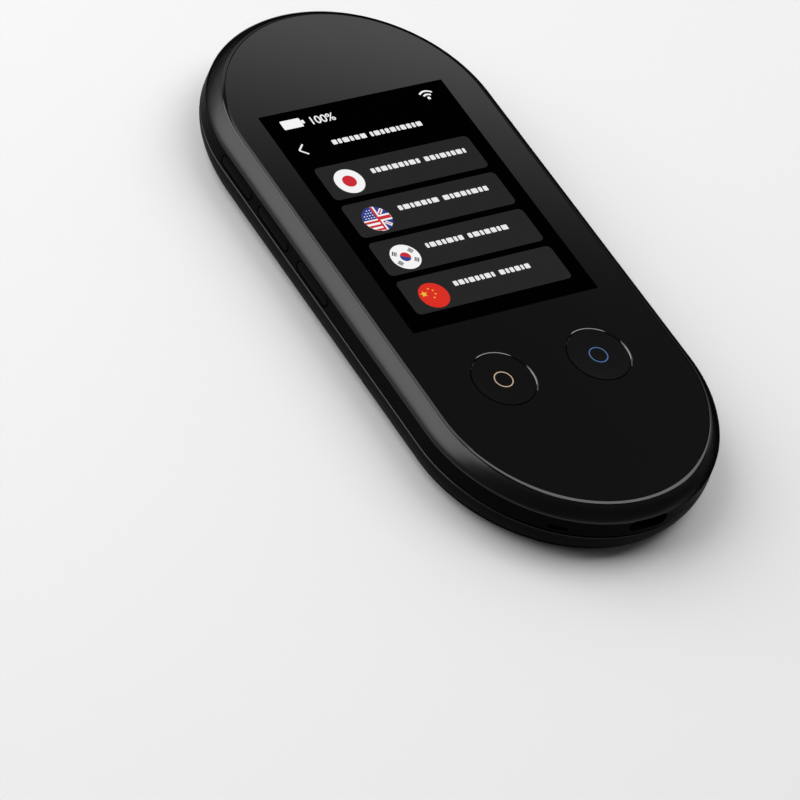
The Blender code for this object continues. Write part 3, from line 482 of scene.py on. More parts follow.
def quarter(steps):
    """Angles from 0 to a right angle."""
    return [math.pi / 2 * i / steps for i in range(steps + 1)]


def spread(first, last, count):
    """Values between two ends, closer together near both."""
    shares = [(1 - math.cos(math.pi * i / count)) / 2 for i in range(count + 1)]
    return [first + (last - first) * share for share in shares]


def pill(half_across, half_along, steps=END_STEPS, straight_steps=0):
    """Outline with two straight sides and round ends; the long way is the second coordinate."""
    straight = half_along - half_across
    upper = arc(0, straight, half_across, 0, math.pi, steps)
    lower = arc(0, -straight, half_across, math.pi, 2 * math.pi, steps)
    left = [(-half_across, straight * (1 - 2 * i / straight_steps)) for i in range(1, straight_steps)]
    right = [(half_across, straight * (2 * i / straight_steps - 1)) for i in range(1, straight_steps)]
    return upper + left + lower + right


def raised(outline, z, centre=(0, 0)):
    return [(centre[0] + x, centre[1] + y, z) for x, y in outline]


def loft(rings, closed=False):
    """Mesh through rings with equal counts of points. A closed one joins its last ring to its first."""
    bm = bmesh.new()
    rows = [[bm.verts.new(point) for point in ring] for ring in rings]
    count = len(rows[0])
    pairs = list(zip(rows, rows[1:]))
    if closed:
        pairs.append((rows[-1], rows[0]))
    for lower, upper in pairs:
        for i in range(count):
            j = (i + 1) % count
            bm.faces.new((lower[i], lower[j], upper[j], upper[i]))
    if not closed:
        bm.faces.new(rows[0])
        bm.faces.new(rows[-1])
    return bm


def turned(profile, centre, steps=DISC_STEPS, closed=False):
    """Mesh turned about an upright axis from (radius, height) points."""
    rings = [raised(arc(*centre, radius, 0, 2 * math.pi, steps)[:-1], height) for radius, height in profile]
    return loft(rings, closed)


def upright(outline, heights, centre=(0, 0)):
    """Mesh with upright walls on an outline, between two heights."""
    return loft([raised(outline, z, centre) for z in heights])


def new_mesh(name, bm):
    mesh = bpy.data.meshes.new(name)
    bm.to_mesh(mesh)
    bm.free()
    return mesh


def put(name, data, material, body="housing", location=(0, 0, 0)):
    """Puts a piece in the scene with its finish, on its body."""
    made = bpy.data.objects.new(name, data)
    made.location = location
    made.data.materials.append(material)
    bpy.context.scene.collection.objects.link(made)
    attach(made, body)
    return made


def piece(name, bm, material, body="housing", replaces=(), angle=SHARP_ANGLE):
    """Makes a piece of a mesh, smooth apart from its sharp edges, on its body."""
    bmesh.ops.recalc_face_normals(bm, faces=bm.faces)
    mesh = new_mesh(name, bm)
    mesh.shade_smooth()
    mesh.set_sharp_from_angle(angle=math.radians(angle))
    made = put(name, mesh, material, body)
    if replaces:
        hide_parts(*replaces)
    return made


def cut(made, tools, angle=SHARP_ANGLE):
    """Cuts shapes out of a piece for good."""
    helpers = []
    for number, bm in enumerate(tools):
        bmesh.ops.recalc_face_normals(bm, faces=bm.faces)
        mesh = new_mesh(f"{made.name}_tool_{number}", bm)
        helper = bpy.data.objects.new(mesh.name, mesh)
        bpy.context.scene.collection.objects.link(helper)
        helpers.append(helper)
        modifier = made.modifiers.new(mesh.name, "BOOLEAN")
        modifier.operation = "DIFFERENCE"
        modifier.solver = "EXACT"
        modifier.object = helper
    bpy.context.view_layer.update()
    graph = bpy.context.evaluated_depsgraph_get()
    result = bpy.data.meshes.new_from_object(made.evaluated_get(graph))
    made.modifiers.clear()
    made.data = result
    result.set_sharp_from_angle(angle=math.radians(angle))
    for helper in helpers:
        bpy.data.objects.remove(helper, do_unlink=True)


def paint(made, material, wanted):
    """Gives the faces that pass a test another material."""
    made.data.materials.append(material)
    last = len(made.data.materials) - 1
    for face in made.data.polygons:
        if wanted(face):
            face.material_index = last


# Forms of the wall, and the openings in it
def rise(level, power):
    """Superellipse: how far out the wall has come at a level from its start (0) to its end (1)."""
    angle = math.acos(min(1, max(0, 1 - level)) ** (power / 2))
    return math.sin(angle) ** (2 / power)


def front_overhang(z):
    """How far the front wall stands out from the glass: a shoulder down to the crease, then a steep band."""
    start = GLASS_TOP - RIM_DROP
    first = GAP + RIM
    band = min(1, max(0, (CREASE - z) / (CREASE - SHELL_BOTTOM)))
    last = OVERHANG - BAND_DRAFT * (1 - band)
    level = FRONT_START_SHARE + (1 - FRONT_START_SHARE) * (start - z) / (start - CREASE)
    flat_part = rise(FRONT_START_SHARE, FRONT_POWER)
    return first + (last - first) * (rise(level, FRONT_POWER) - flat_part) / (1 - flat_part)


def front_ring(overhang, z):
    outline = pill(GLASS_HALF_WIDTH + overhang, GLASS_HALF_LENGTH + overhang, END_STEPS, STRAIGHT_STEPS)
    return raised(outline, z)


def upright_pill(half_along, half_up, x, centre_y):
    return [(x, centre_y + along, KEY_Z + up) for up, along in pill(half_up, half_along, WALL_STEPS)]


def key_opening(y):
    half_length = KEY_HALF_LENGTH + KEY_SLACK
    half_height = KEY_HALF_HEIGHT + KEY_SLACK
    ends = (-BODY_HALF_WIDTH - WALL_OVERRUN, KEY_OPENING_X)
    return loft([upright_pill(half_length, half_height, x, y) for x in ends])


def usb_pill(slack, y, half_width=USB_HALF_WIDTH, half_height=USB_HALF_HEIGHT):
    outline = pill(half_height + slack, half_width + slack, WALL_STEPS)
    return [(along, y, USB_Z + up) for up, along in outline]


def mouth_opening():
    ends = (-BODY_HALF_LENGTH - WALL_OVERRUN, MOUTH_BACK_Y)
    return loft([usb_pill(0, y, MOUTH_HALF_WIDTH, MOUTH_HALF_HEIGHT) for y in ends])


def mic_opening():
    """Slot that runs square into the round end of the wall."""
    angle = math.asin(MIC_OFFSET / BODY_HALF_WIDTH)
    centre_y = -(GLASS_HALF_LENGTH - GLASS_HALF_WIDTH)
    rings = []
    for radius in (BODY_HALF_WIDTH + WALL_OVERRUN, BODY_HALF_WIDTH - MIC_DEPTH):
        ring = []
        for up, along in pill(MIC_HALF_HEIGHT, MIC_HALF_LENGTH, MIC_STEPS):
            x = -radius * math.sin(angle) + along * math.cos(angle)
            y = centre_y - radius * math.cos(angle) - along * math.sin(angle)
            ring.append((x, y, MIC_Z + up))
        rings.append(ring)
    return loft(rings)


# Front shell and its polished rim
def make_front_shell():
    start = GLASS_TOP - RIM_DROP
    falls = [1 - math.sin(turn) ** (2 / FRONT_POWER) for turn in reversed(quarter(SECTION_STEPS))]
    heights = [start - (start - CREASE) * fall for fall in falls]
    heights += spread(CREASE, SHELL_BOTTOM + EDGE, BAND_STEPS)[1:]
    rings = [front_ring(front_overhang(z), z) for z in heights]
    for angle in quarter(EDGE_STEPS)[1:]:
        out = OVERHANG - EDGE * (1 - math.cos(angle))
        rings.append(front_ring(out, SHELL_BOTTOM + EDGE * (1 - math.sin(angle))))
    ledge_bottom = SCREEN_TOP - LEDGE_THICKNESS
    inner = spread(SHELL_BOTTOM, ledge_bottom, BAND_STEPS)
    rings += [front_ring(front_overhang(z) - SHELL_WALL, z) for z in inner]
    ledge = LEDGE_HALF_WIDTH - GLASS_HALF_WIDTH
    rings.append(front_ring(ledge, ledge_bottom))
    rings.append(front_ring(ledge, SCREEN_TOP))
    rings.append(front_ring(GAP, SCREEN_TOP))
    rings.append(front_ring(GAP, start - RIM))
    rings.append(front_ring(GAP + RIM - SEAT_INSET, start - SEAT_DROP))
    skin = loft(rings, closed=True)
    shell = piece("front_shell_skin", skin, SHELL, replaces=["front_shell"])
    tools = [key_opening(y) for y in KEYS.values()]
    cut(shell, tools + [mouth_opening(), mic_opening()])
    # The band below the crease takes the dark finish without reflection: painted shade
    paint(shell, PAINTED_SHADE, lambda face: face.center.z < CREASE + PAINT_MARGIN)


def slope_line(out, z, slopes, length):
    """Points of a section that falls away in short runs of one length, each at its slope in degrees."""
    points = [(out, z)]
    for slope in slopes:
        out += length * math.cos(math.radians(slope))
        z -= length * math.sin(math.radians(slope))
        points.append((out, z))
    return points


def make_rim():
    """Polished edge round the glass, slightly crowned."""
    section = slope_line(SEAM, GLASS_TOP, RIM_SLOPES, (RIM + GAP - SEAM) / len(RIM_SLOPES))
    low = GLASS_TOP - RIM_DEPTH
    section += [(section[-1][0] - RIM_FOOT_INSET, low), (SEAM, low)]
    rings = [front_ring(out, z) for out, z in section]
    piece("front_rim", loft(rings, closed=True), RIM_MATERIAL, angle=RIM_ANGLE)


make_front_shell()
make_rim()


# Glass and talk buttons
def make_glass():
    """Cover glass with a fine edge, and two holes with a bevel that has a painted highlight along two arcs
    and painted shade on the rest.
    """
    top = GLASS_TOP - GLASS_SINK
    section = [(0, GLASS_BOTTOM), (0, top - GLASS_EDGE), (-GLASS_EDGE, top)]
    rings = [raised(pill(GLASS_HALF_WIDTH + out, GLASS_HALF_LENGTH + out), z) for out, z in section]
    replaced = ["front_glass"]
    glass = piece("cover_glass", loft(rings), GLASS, replaces=replaced, angle=FLAT_ANGLE)
    hole = BUTTON_RADIUS + SEAM
    fall = slope_line(0, 0, BEVEL_SLOPES, BEVEL_STEP)
    outer = hole + fall[-1][0]
    bevel = [(outer - out, top + drop) for out, drop in reversed(fall)]
    profile = [(hole, GLASS_BOTTOM - OVERRUN), *bevel, (outer, top + OVERRUN)]
    cut(glass, [turned(profile, (x, BUTTON_Y)) for x in (-BUTTON_X, BUTTON_X)], FLAT_ANGLE)

    def way_round(face):
        """Angle of a bevel's face about its hole in degrees, or None for any other face."""
        across = face.center.x - math.copysign(BUTTON_X, face.center.x)
        along = face.center.y - BUTTON_Y
        steepest, flattest = BEVEL_FACING
        if not steepest < face.normal.z < flattest or math.hypot(across, along) > outer:
            return None
        return math.degrees(math.atan2(along, across))

    def in_arc(face):
        """Whether a bevel's face lies in an arc of painted highlight, which is longest at its full slope."""
        angle = way_round(face)
        if angle is None:
            return False
        margin = ARC_TAPER * abs(face.normal.z - ARC_FULL_SLOPE)
        return any(first + margin < angle < last - margin for first, last in HIGHLIGHT_ARCS)

    # Bevel faces off the arcs get painted shade, those on the arcs a painted highlight
    paint(glass, PAINTED_SHADE, lambda face: way_round(face) is not None and not in_arc(face))
    paint(glass, BEVEL_HIGHLIGHT, in_arc)


def dish_height(radius):
    return GLASS_TOP - BUTTON_SINK - BUTTON_DISH * (1 - (radius / BUTTON_RADIUS) ** 2)


def button_profile():
    """Half section of a talk button, from the middle of its dish to the foot of its stem."""
    radii = spread(BUTTON_CENTRE_RADIUS, BUTTON_RADIUS - BUTTON_EDGE, CAP_STEPS)
    top = GLASS_TOP - BUTTON_SINK
    turn = BUTTON_EDGE * BUTTON_EDGE_SHARE
    flange_radius = BUTTON_RADIUS + BUTTON_FLANGE
    flange_top = GLASS_BOTTOM - GAP
    flange_bottom = flange_top - BUTTON_FLANGE_THICKNESS
    return [(radius, dish_height(radius)) for radius in radii] + [
        (BUTTON_RADIUS - turn, top - turn),
        (BUTTON_RADIUS, top - BUTTON_EDGE),
        (BUTTON_RADIUS, flange_top),
        (flange_radius, flange_top),
        (flange_radius, flange_bottom),
        (BUTTON_STEM_RADIUS, flange_bottom),
        (BUTTON_STEM_RADIUS, flange_bottom - BUTTON_STEM_LENGTH),
    ]


def icon_section():
    """Section of the ring on a talk button, with a soft upper edge."""
    half = ICON_WIDTH / 2
    crown = half * ICON_CROWN_SHARE
    middle = ICON_RADIUS - half
    top = dish_height(middle) + ICON_STAND
    edge = top - ICON_EDGE
    foot = top - ICON_DEPTH
    return [
        (middle - half, foot), (middle - half, edge), (middle - crown, top),
        (middle + crown, top), (middle + half, edge), (middle + half, foot),
    ]


def make_button(x, name, icon_material):
    centre = (x, BUTTON_Y)
    body = f"{name}_talk_button"
    mesh = turned(button_profile(), centre)
    cap = piece(f"{name}_talk_cap", mesh, BUTTON, body, [body], FLAT_ANGLE)
    steepest, flattest = BUTTON_EDGE_FACING
    # The cap's edge takes the dark finish without reflection: a ring of painted shade round the button
    paint(cap, PAINTED_SHADE, lambda face: steepest < face.normal.z < flattest)
    ring = turned(icon_section(), centre, SMALL_STEPS, closed=True)
    piece(f"{name}_icon_ring", ring, icon_material, body, [f"{name}_button_ring"])


make_glass()
make_button(-BUTTON_X, "left", ORANGE)
make_button(BUTTON_X, "right", BLUE)


# Side keys
def make_key(node, y):
    """Key with a round edge, the flange that holds it in the wall, and a nub toward its switch."""
    sections = []
    for angle in quarter(KEY_EDGE_STEPS):
        inset = KEY_EDGE * (1 - math.sin(angle))
        x = KEY_EDGE * (1 - math.cos(angle)) - BODY_HALF_WIDTH
        sections.append((KEY_HALF_LENGTH - inset, KEY_HALF_HEIGHT - inset, x))
    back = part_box(node)[1].x
    flange_front = back - KEY_FLANGE_DEPTH
    flange_back = back - KEY_NUB_DEPTH
    flange = (KEY_HALF_LENGTH + KEY_FLANGE, KEY_HALF_HEIGHT + KEY_FLANGE_RISE)
    sections += [
        (KEY_HALF_LENGTH, KEY_HALF_HEIGHT, flange_front),
        (*flange, flange_front),
        (*flange, flange_back),
        (*KEY_NUB_HALVES, flange_back),
        (*KEY_NUB_HALVES, back),
    ]
    rings = [upright_pill(length, height, x, y) for length, height, x in sections]
    # The key takes the dark finish without reflection: painted shade
    piece(f"{node}_cap", loft(rings), KEY_PAINTED_SHADE, node, [node])


for key_node, key_y in KEYS.items():
    make_key(key_node, key_y)


# Socket
def add_box(bm, middle, size):
    """Adds a box to a mesh, by its middle and its size each way."""
    for vert in bmesh.ops.create_cube(bm, size=1)["verts"]:
        vert.co = [centre + share * length for centre, share, length in zip(middle, vert.co, size)]


def make_usb():
    low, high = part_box("usb_socket")
    front = low.y
    back = high.y
    rings = [usb_pill(0, back)]
    rings += [usb_pill(-inset, front + depth) for inset, depth in USB_LIP]
    rings.append(usb_pill(-USB_WALL, back - USB_WALL))
    piece("usb_shell", loft(rings), STEEL, replaces=["usb_socket"])
    tongue_front = front + TONGUE_SETBACK
    tongue_length = back - USB_WALL - tongue_front
    tongue = bmesh.new()
    tongue_middle = (0, tongue_front + tongue_length / 2, USB_Z)
    add_box(tongue, tongue_middle, (TONGUE_WIDTH, tongue_length, TONGUE_THICKNESS))
    bmesh.ops.bevel(tongue, geom=tongue.edges[:], offset=TONGUE_EDGE, segments=3, affect="EDGES")
    piece("usb_tongue", tongue, DEEP)
    contacts = bmesh.new()
    for i in range(CONTACT_COUNT):
        x = (i - (CONTACT_COUNT - 1) / 2) * CONTACT_PITCH
        for z in (USB_Z - CONTACT_RISE, USB_Z + CONTACT_RISE):
            add_box(contacts, (x, tongue_front + CONTACT_SETBACK, z), CONTACT_SIZE)
    piece("usb_contacts", contacts, STEEL)


make_usb()


# Rear shell, panel and camera
def rear_outline(half_width, half_length, z, share):
    """Ring of the rear at a height. Share 0 is centred with the panel, share 1 with the body."""
    outline = pill(half_width, half_length, END_STEPS, STRAIGHT_STEPS)
    return raised(outline, z, (0, -PANEL_SHIFT * (1 - share)))


def rear_ring(z, share, inset=0):
    """Ring of the rear wall, between the panel's rim (share 0) and the body's outline (share 1)."""
    lip = GAP + RIM
    half_width = PANEL_HALF_WIDTH + lip + share * (BODY_HALF_WIDTH - PANEL_HALF_WIDTH - lip) - inset
    half_length = PANEL_HALF_LENGTH + lip + share * (BODY_HALF_LENGTH - PANEL_HALF_LENGTH - lip) - inset
    return rear_outline(half_width, half_length, z, share)


def pocket_ring(out, z):
    """Ring round the panel."""
    return rear_outline(PANEL_HALF_WIDTH + out, PANEL_HALF_LENGTH + out, z, 0)


def rear_share(z):
    start = PANEL_LIP + RIM
    return rise(min(1, max(0, (z - start) / (REAR_TOP - start))), REAR_POWER)


def rear_shell_rings():
    """Rings of the rear shell: pocket of the panel, rim, slope, upper edge, lip, and the cavity inside."""
    floor_bottom = PANEL_THICKNESS + GAP
    rings = [
        pocket_ring(GAP, floor_bottom),
        pocket_ring(GAP, PANEL_LIP + POCKET_EDGE),
        pocket_ring(GAP + POCKET_EDGE, PANEL_LIP),
    ]
    rings += [pocket_ring(GAP + RIM * out, PANEL_LIP + RIM * up) for out, up in REAR_RIM_SHARES]
    heights = spread(PANEL_LIP + RIM, REAR_TOP - EDGE, SECTION_STEPS)
    rings += [rear_ring(z, rear_share(z)) for z in heights]
    for angle in quarter(EDGE_STEPS)[1:]:
        rings.append(rear_ring(REAR_TOP - EDGE * (1 - math.sin(angle)), 1, EDGE * (1 - math.cos(angle))))
    lip_outer = front_overhang(SHELL_BOTTOM + LIP_HEIGHT) - SHELL_WALL - GAP
    lip_inner = lip_outer - LIP_THICKNESS
    lip_top = REAR_TOP + LIP_HEIGHT
    rings += [front_ring(lip_outer, REAR_TOP), front_ring(lip_outer, lip_top)]
    rings += [front_ring(lip_inner, lip_top), front_ring(lip_inner, REAR_TOP - LIP_FOOT)]
    rings.append(rear_ring(CAVITY_BEND_Z, rear_share(CAVITY_BEND_WALL_Z), CAVITY_INSET))
    rings.append(rear_ring(floor_bottom + FLOOR_THICKNESS, rear_share(CAVITY_FLOOR_WALL_Z), CAVITY_INSET))
    return rings


def make_rear_shell():
    # The rear shell has the dark finish without reflection, painted shade, apart from its upper edge and the
    # slopes that face down
    shell = piece("rear_shell_skin", loft(rear_shell_rings()), LOWER_PAINTED_SHADE, replaces=["rear_shell"])
    floor_cut = (PANEL_THICKNESS, FLOOR_CUT_TOP)
    room_cut = (REAR_TOP, ROOM_TOP)
    speaker_y = SLOT_CENTRE_Y + sum(SLOT_RADII) / len(SLOT_RADII)
    cut(shell, [
        turned([(LENS_HOLE_RADIUS, z) for z in floor_cut], (0, LENS_Y), SMALL_STEPS),
        upright(SPEAKER_ROOM, floor_cut, (0, speaker_y)),
        upright(KEY_ROOM, room_cut),
        upright(SOCKET_ROOM, room_cut),
    ])
    wall_top = REAR_TOP - EDGE
    # Lacquer on the upper edge and on the slopes that face down; the steep wall between stays painted shade
    paint(shell, SHELL, lambda face: wall_top < face.center.z < REAR_TOP and face.normal.z > EDGE_FACING)
    paint(shell, SHELL, lambda face: face.center.z < wall_top and face.normal.z < SLOPE_FACING)


def slot_tool(radius):
    """Curved slot with round ends, about the centre of the panel's upper end."""
    first = math.pi / 2 - SLOT_HALF_ANGLE
    last = math.pi / 2 + SLOT_HALF_ANGLE
    half = SLOT_HALF_WIDTH
    near_end, far_end = arc(0, SLOT_CENTRE_Y, radius, first, last, 1)
    outline = arc(0, SLOT_CENTRE_Y, radius + half, first, last, SLOT_STEPS)
    outline += arc(*far_end, half, last, last + math.pi, SLOT_END_STEPS)[1:-1]
    outline += arc(0, SLOT_CENTRE_Y, radius - half, last, first, SLOT_STEPS)
    outline += arc(*near_end, half, first + math.pi, first + 2 * math.pi, SLOT_END_STEPS)[1:-1]
    return upright(outline, (-OVERRUN, PANEL_THICKNESS + OVERRUN))


def make_rear_panel():
    bend = PANEL_EDGE * PANEL_EDGE_SHARE
    section = [(0, PANEL_THICKNESS), (0, PANEL_EDGE), (-bend, bend), (-PANEL_EDGE, 0)]
    centre = (0, -PANEL_SHIFT)
    rings = [raised(pill(PANEL_HALF_WIDTH + out, PANEL_HALF_LENGTH + out), z, centre) for out, z in section]
    replaced = ["rear_panel"]
    panel = piece("rear_plate", loft(rings), REAR_GLOSS, replaces=replaced, angle=FLAT_ANGLE)
    ends = (-OVERRUN, PANEL_THICKNESS + OVERRUN)
    hole = turned([(LENS_RING_OUTER + GAP, z) for z in ends], (0, LENS_Y))
    cut(panel, [slot_tool(radius) for radius in SLOT_RADII] + [hole], FLAT_ANGLE)


def make_camera_parts():
    centre = (0, LENS_Y)
    ring = [(LENS_RING_BORE, PANEL_THICKNESS), (LENS_RING_OUTER, PANEL_THICKNESS)]
    ring += [(LENS_RING_OUTER - inset, z) for inset, z in LENS_RING_EDGE]
    ring += [(LENS_RING_BORE + out, z) for out, z in LENS_RING_FLARE]
    piece("camera_bezel", turned(ring, centre, closed=True), SPUN, replaces=["camera_ring"])
    rim = LENS_RING_BORE - GAP
    steps = [*LENS_STEPS, (rim, LENS_RIM_Z), (rim, PANEL_THICKNESS)]
    replaced = ["camera_window"]
    piece("camera_lens", turned(steps, centre), LENS, replaces=replaced, angle=LENS_ANGLE)


make_rear_shell()
make_rear_panel()
make_camera_parts()


# What the screen shows: marks in thin layers just over the glass
LAYER = 0.000005
SHOWN = GLASS_TOP - LAYER
SCREEN_X = -0.0006
SCREEN_HALF = 0.02135
SCREEN_CORNER = 0.0002
CARD_COUNT = 4
CARD_HALF_X = 0.0179
CARD_HALF_Y = 0.00432
CARD_CORNER = 0.0011
CARD_FIRST_Y = 0.0218
CARD_PITCH = 0.0101

# Status line and back arrow
STATUS_Y = 0.0379
BATTERY_X = -0.0162
BATTERY_HALF = (0.0022, 0.00115)
BATTERY_CORNER = 0.0002
POLE_X = -0.01365
POLE_HALF = (0.0003, 0.00045)
POLE_CORNER = 0.0001
CHARGE_PLACE = (-0.0124, 0.03675, SHOWN)
CHARGE_SIZE = 0.00275
CHARGE_SPACING = 0.98
CHARGE_SWELL = 0.00003
RADIO_PLACE = (0.0154, 0.0369)
RADIO_ARCS = ((0.0010, 0.0014), (0.0019, 0.0023))
RADIO_ENDS = (math.radians(46), math.radians(134))
RADIO_DOT_RISE = 0.0002
RADIO_DOT_RADIUS = 0.00036
ARROW_X = -0.01775
ARROW_Y = 0.0312
ARROW_RISE = 0.00065
ARROW_HALF_LENGTH = 0.0010
ARROW_HALF_WIDTH = 0.00017
ARROW_SLOPE = math.radians(42)

# Rows of blocks in place of words. A title word is (left end, length), and a card has two lengths
TEXT_HEIGHT = 0.0012
TEXT_GAP = 0.0003
BLOCK_PITCH = 0.00125
BLOCK_CORNER = 0.0002
BLOCK_SWING_SHARE = 0.35
BLOCK_TURN = 2.4
BLOCK_TURN_PER_LENGTH = 2000
TITLE_Y = 0.0314
TITLE_WORDS = ((-0.0108, 0.0078), (-0.0020, 0.0120))
TEXT_X = -0.0072
TEXT_RISE = 0.0008
WORD_GAP = 0.0012
CARD_WORDS = ((0.0112, 0.0096), (0.0092, 0.0104), (0.0086, 0.0092), (0.0094, 0.0070))

# Badges. Shares are of the badge's radius
BADGE_X = -0.01295
BADGE_FALL = 0.0004
BADGE_RADIUS = 0.0031
BADGE_DRIFT = 0.0001
DISC_SHARE = 0.47
STRIPE_SHARES = (-0.28, -0.62, -0.94)
STRIPE_WIDTH_SHARE = 0.17
DOT_ROWS = 4
DOT_SHARE = 0.045
DOT_PITCH_SHARE = 0.2
DOT_START_SHARES = (-0.14, 0.15)
DOT_REACH_SHARE = 0.92
FIELD_SHARE = 0.26
WHITE_SLANT_SHARES = (0.52, 0.235, 0.12)
RED_SLANT_SHARES = (0.50, 0.20, 0.04)
CROSS_WIDTH_SHARE = 0.14
CROSS_HALF_SHARE = 0.13
CROSS_REACH_SHARE = 0.98
CORE_SHARE = 0.36
CORE_TURN = math.radians(-30)
BAR_ANGLES = (33, 147, 213, 327)
BAR_SHARES = (0.60, 0.71, 0.82)
BAR_HALF_LENGTH_SHARE = 0.17
BAR_HALF_WIDTH_SHARE = 0.035
STAR_INNER_SHARE = 0.4
LARGE_STAR_SHARES = (-0.58, 0.25, 0.27)
SMALL_STAR_SHARE = 0.09
SMALL_STAR_TURN = 0.4
SMALL_STAR_SHARES = ((-0.10, 0.57), (0.13, 0.38), (0.165, 0.08), (-0.065, -0.165))


def flat(name, outlines, layers, material):
    """Thin marks of one or more outlines, so many layers under the highest."""
    bm = bmesh.new()
    for outline in outlines:
        face = bm.faces.new([bm.verts.new(point) for point in raised(outline, SHOWN - layers * LAYER)])
        face.normal_update()
        if face.normal.z < 0:
            face.normal_flip()
    put(name, new_mesh(name, bm), material)


def round_box(centre_x, centre_y, half_x, half_y, radius, steps=BOX_STEPS):
    points = []
    for i, (side_x, side_y) in enumerate(((1, 1), (-1, 1), (-1, -1), (1, -1))):
        start = i * math.pi / 2
        corner = (centre_x + side_x * (half_x - radius), centre_y + side_y * (half_y - radius))
        points += arc(*corner, radius, start, start + math.pi / 2, steps)
    return points


def circle(x, y, radius, steps=SMALL_STEPS):
    return arc(x, y, radius, 0, 2 * math.pi, steps)[:-1]


def star(x, y, radius, turn=0.0):
    points = []
    for i in range(10):
        angle = turn + math.pi / 2 + math.pi * i / 5
        reach = radius if i % 2 == 0 else radius * STAR_INNER_SHARE
        points.append((x + reach * math.cos(angle), y + reach * math.sin(angle)))
    return points


def band(x, y, half_length, half_width, angle):
    """A straight stroke about its middle."""
    along = (math.cos(angle) * half_length, math.sin(angle) * half_length)
    across = (-math.sin(angle) * half_width, math.cos(angle) * half_width)
    return [
        (x + sx * along[0] + sy * across[0], y + sx * along[1] + sy * across[1])
        for sx, sy in ((1, 1), (-1, 1), (-1, -1), (1, -1))
    ]


def ring_sector(x, y, inner, outer, first, last, steps=ARC_STEPS):
    return arc(x, y, outer, first, last, steps) + arc(x, y, inner, last, first, steps)


def word(x, y, length):
    """A row of short blocks that stands for one word, from its left end."""
    count = max(2, round(length / BLOCK_PITCH))
    start = length * BLOCK_TURN_PER_LENGTH
    shares = [1 + BLOCK_SWING_SHARE * math.sin(BLOCK_TURN * i + start) for i in range(count)]
    unit = (length - TEXT_GAP * (count - 1)) / sum(shares)
    blocks = []
    for share in shares:
        half = unit * share / 2
        blocks.append(round_box(x + half, y, half, TEXT_HEIGHT / 2, BLOCK_CORNER, BLOCK_STEPS))
        x += 2 * half + TEXT_GAP
    return blocks


def make_status():
    """Charge sign, radio sign and back arrow."""
    marks = [
        round_box(BATTERY_X, STATUS_Y, *BATTERY_HALF, BATTERY_CORNER),
        round_box(POLE_X, STATUS_Y, *POLE_HALF, POLE_CORNER),
    ]
    for side in (1, -1):
        y = ARROW_Y + side * ARROW_RISE
        marks.append(band(ARROW_X, y, ARROW_HALF_LENGTH, ARROW_HALF_WIDTH, side * ARROW_SLOPE))
    marks += [ring_sector(*RADIO_PLACE, inner, outer, *RADIO_ENDS) for inner, outer in RADIO_ARCS]
    radio_x, radio_y = RADIO_PLACE
    marks.append(circle(radio_x, radio_y + RADIO_DOT_RISE, RADIO_DOT_RADIUS, SIGN_STEPS))
    flat("status_icons", marks, 0, WHITE)


def make_charge():
    digits = bpy.data.curves.new("charge_digits", "FONT")
    digits.body = "100%"
    digits.size = CHARGE_SIZE
    digits.space_character = CHARGE_SPACING
    digits.offset = CHARGE_SWELL
    put("charge_digits", digits, WHITE, location=CHARGE_PLACE)


def make_text():
    lines = []
    for x, length in TITLE_WORDS:
        lines += word(x, TITLE_Y, length)
    for row, (first, second) in enumerate(CARD_WORDS):
        y = CARD_FIRST_Y - row * CARD_PITCH + TEXT_RISE
        lines += word(TEXT_X, y, first) + word(TEXT_X + first + WORD_GAP, y, second)
    flat("text_bars", lines, 0, TEXT_WHITE)


def badge_place(row):
    return BADGE_X + row * BADGE_DRIFT, CARD_FIRST_Y - row * (CARD_PITCH + BADGE_DRIFT) - BADGE_FALL


def placed(x, y, points):
    """Points given as shares of the badge's radius, set about its middle."""
    return [(x + BADGE_RADIUS * across, y + BADGE_RADIUS * up) for across, up in points]


def striped_badge(x, y, white, red, navy, dots):
    """Left half with a dotted field over stripes, right half with straight and slanting crosses."""
    canton = arc(0, 0, 1, math.pi / 2, math.pi, ARC_STEPS) + [(0, 0)]
    navy.append(placed(x, y, canton))
    for low in STRIPE_SHARES:
        high = low + STRIPE_WIDTH_SHARE
        side = [(-math.sqrt(1 - level ** 2), level) for level in (high, low)]
        red.append(placed(x, y, [(0, low), (0, high)] + side))
    first_across, first_up = DOT_START_SHARES
    for row in range(DOT_ROWS):
        for column in range(DOT_ROWS):
            across = first_across - column * DOT_PITCH_SHARE
            up = first_up + row * DOT_PITCH_SHARE
            if math.hypot(across, up) < DOT_REACH_SHARE:
                dots.append(placed(x, y, circle(across, up, DOT_SHARE, DOT_STEPS)))
    turn = math.asin(FIELD_SHARE)
    for side in (-1, 1):
        field = [(FIELD_SHARE, FIELD_SHARE)] + arc(0, 0, 1, turn, math.pi / 2 - turn, FIELD_STEPS)
        navy.append(placed(x, y, [(across, side * up) for across, up in field]))
        for marks, (middle, *halves) in ((white, WHITE_SLANT_SHARES), (red, RED_SLANT_SHARES)):
            marks.append(placed(x, y, band(middle, side * middle, *halves, side * math.pi / 4)))
    near = CROSS_WIDTH_SHARE
    far = CROSS_REACH_SHARE
    half = CROSS_HALF_SHARE
    red.append(placed(x, y, [(0, -far), (near, -far), (near, far), (0, far)]))
    red.append(placed(x, y, [(near, -half), (far, -half), (far, half), (near, half)]))


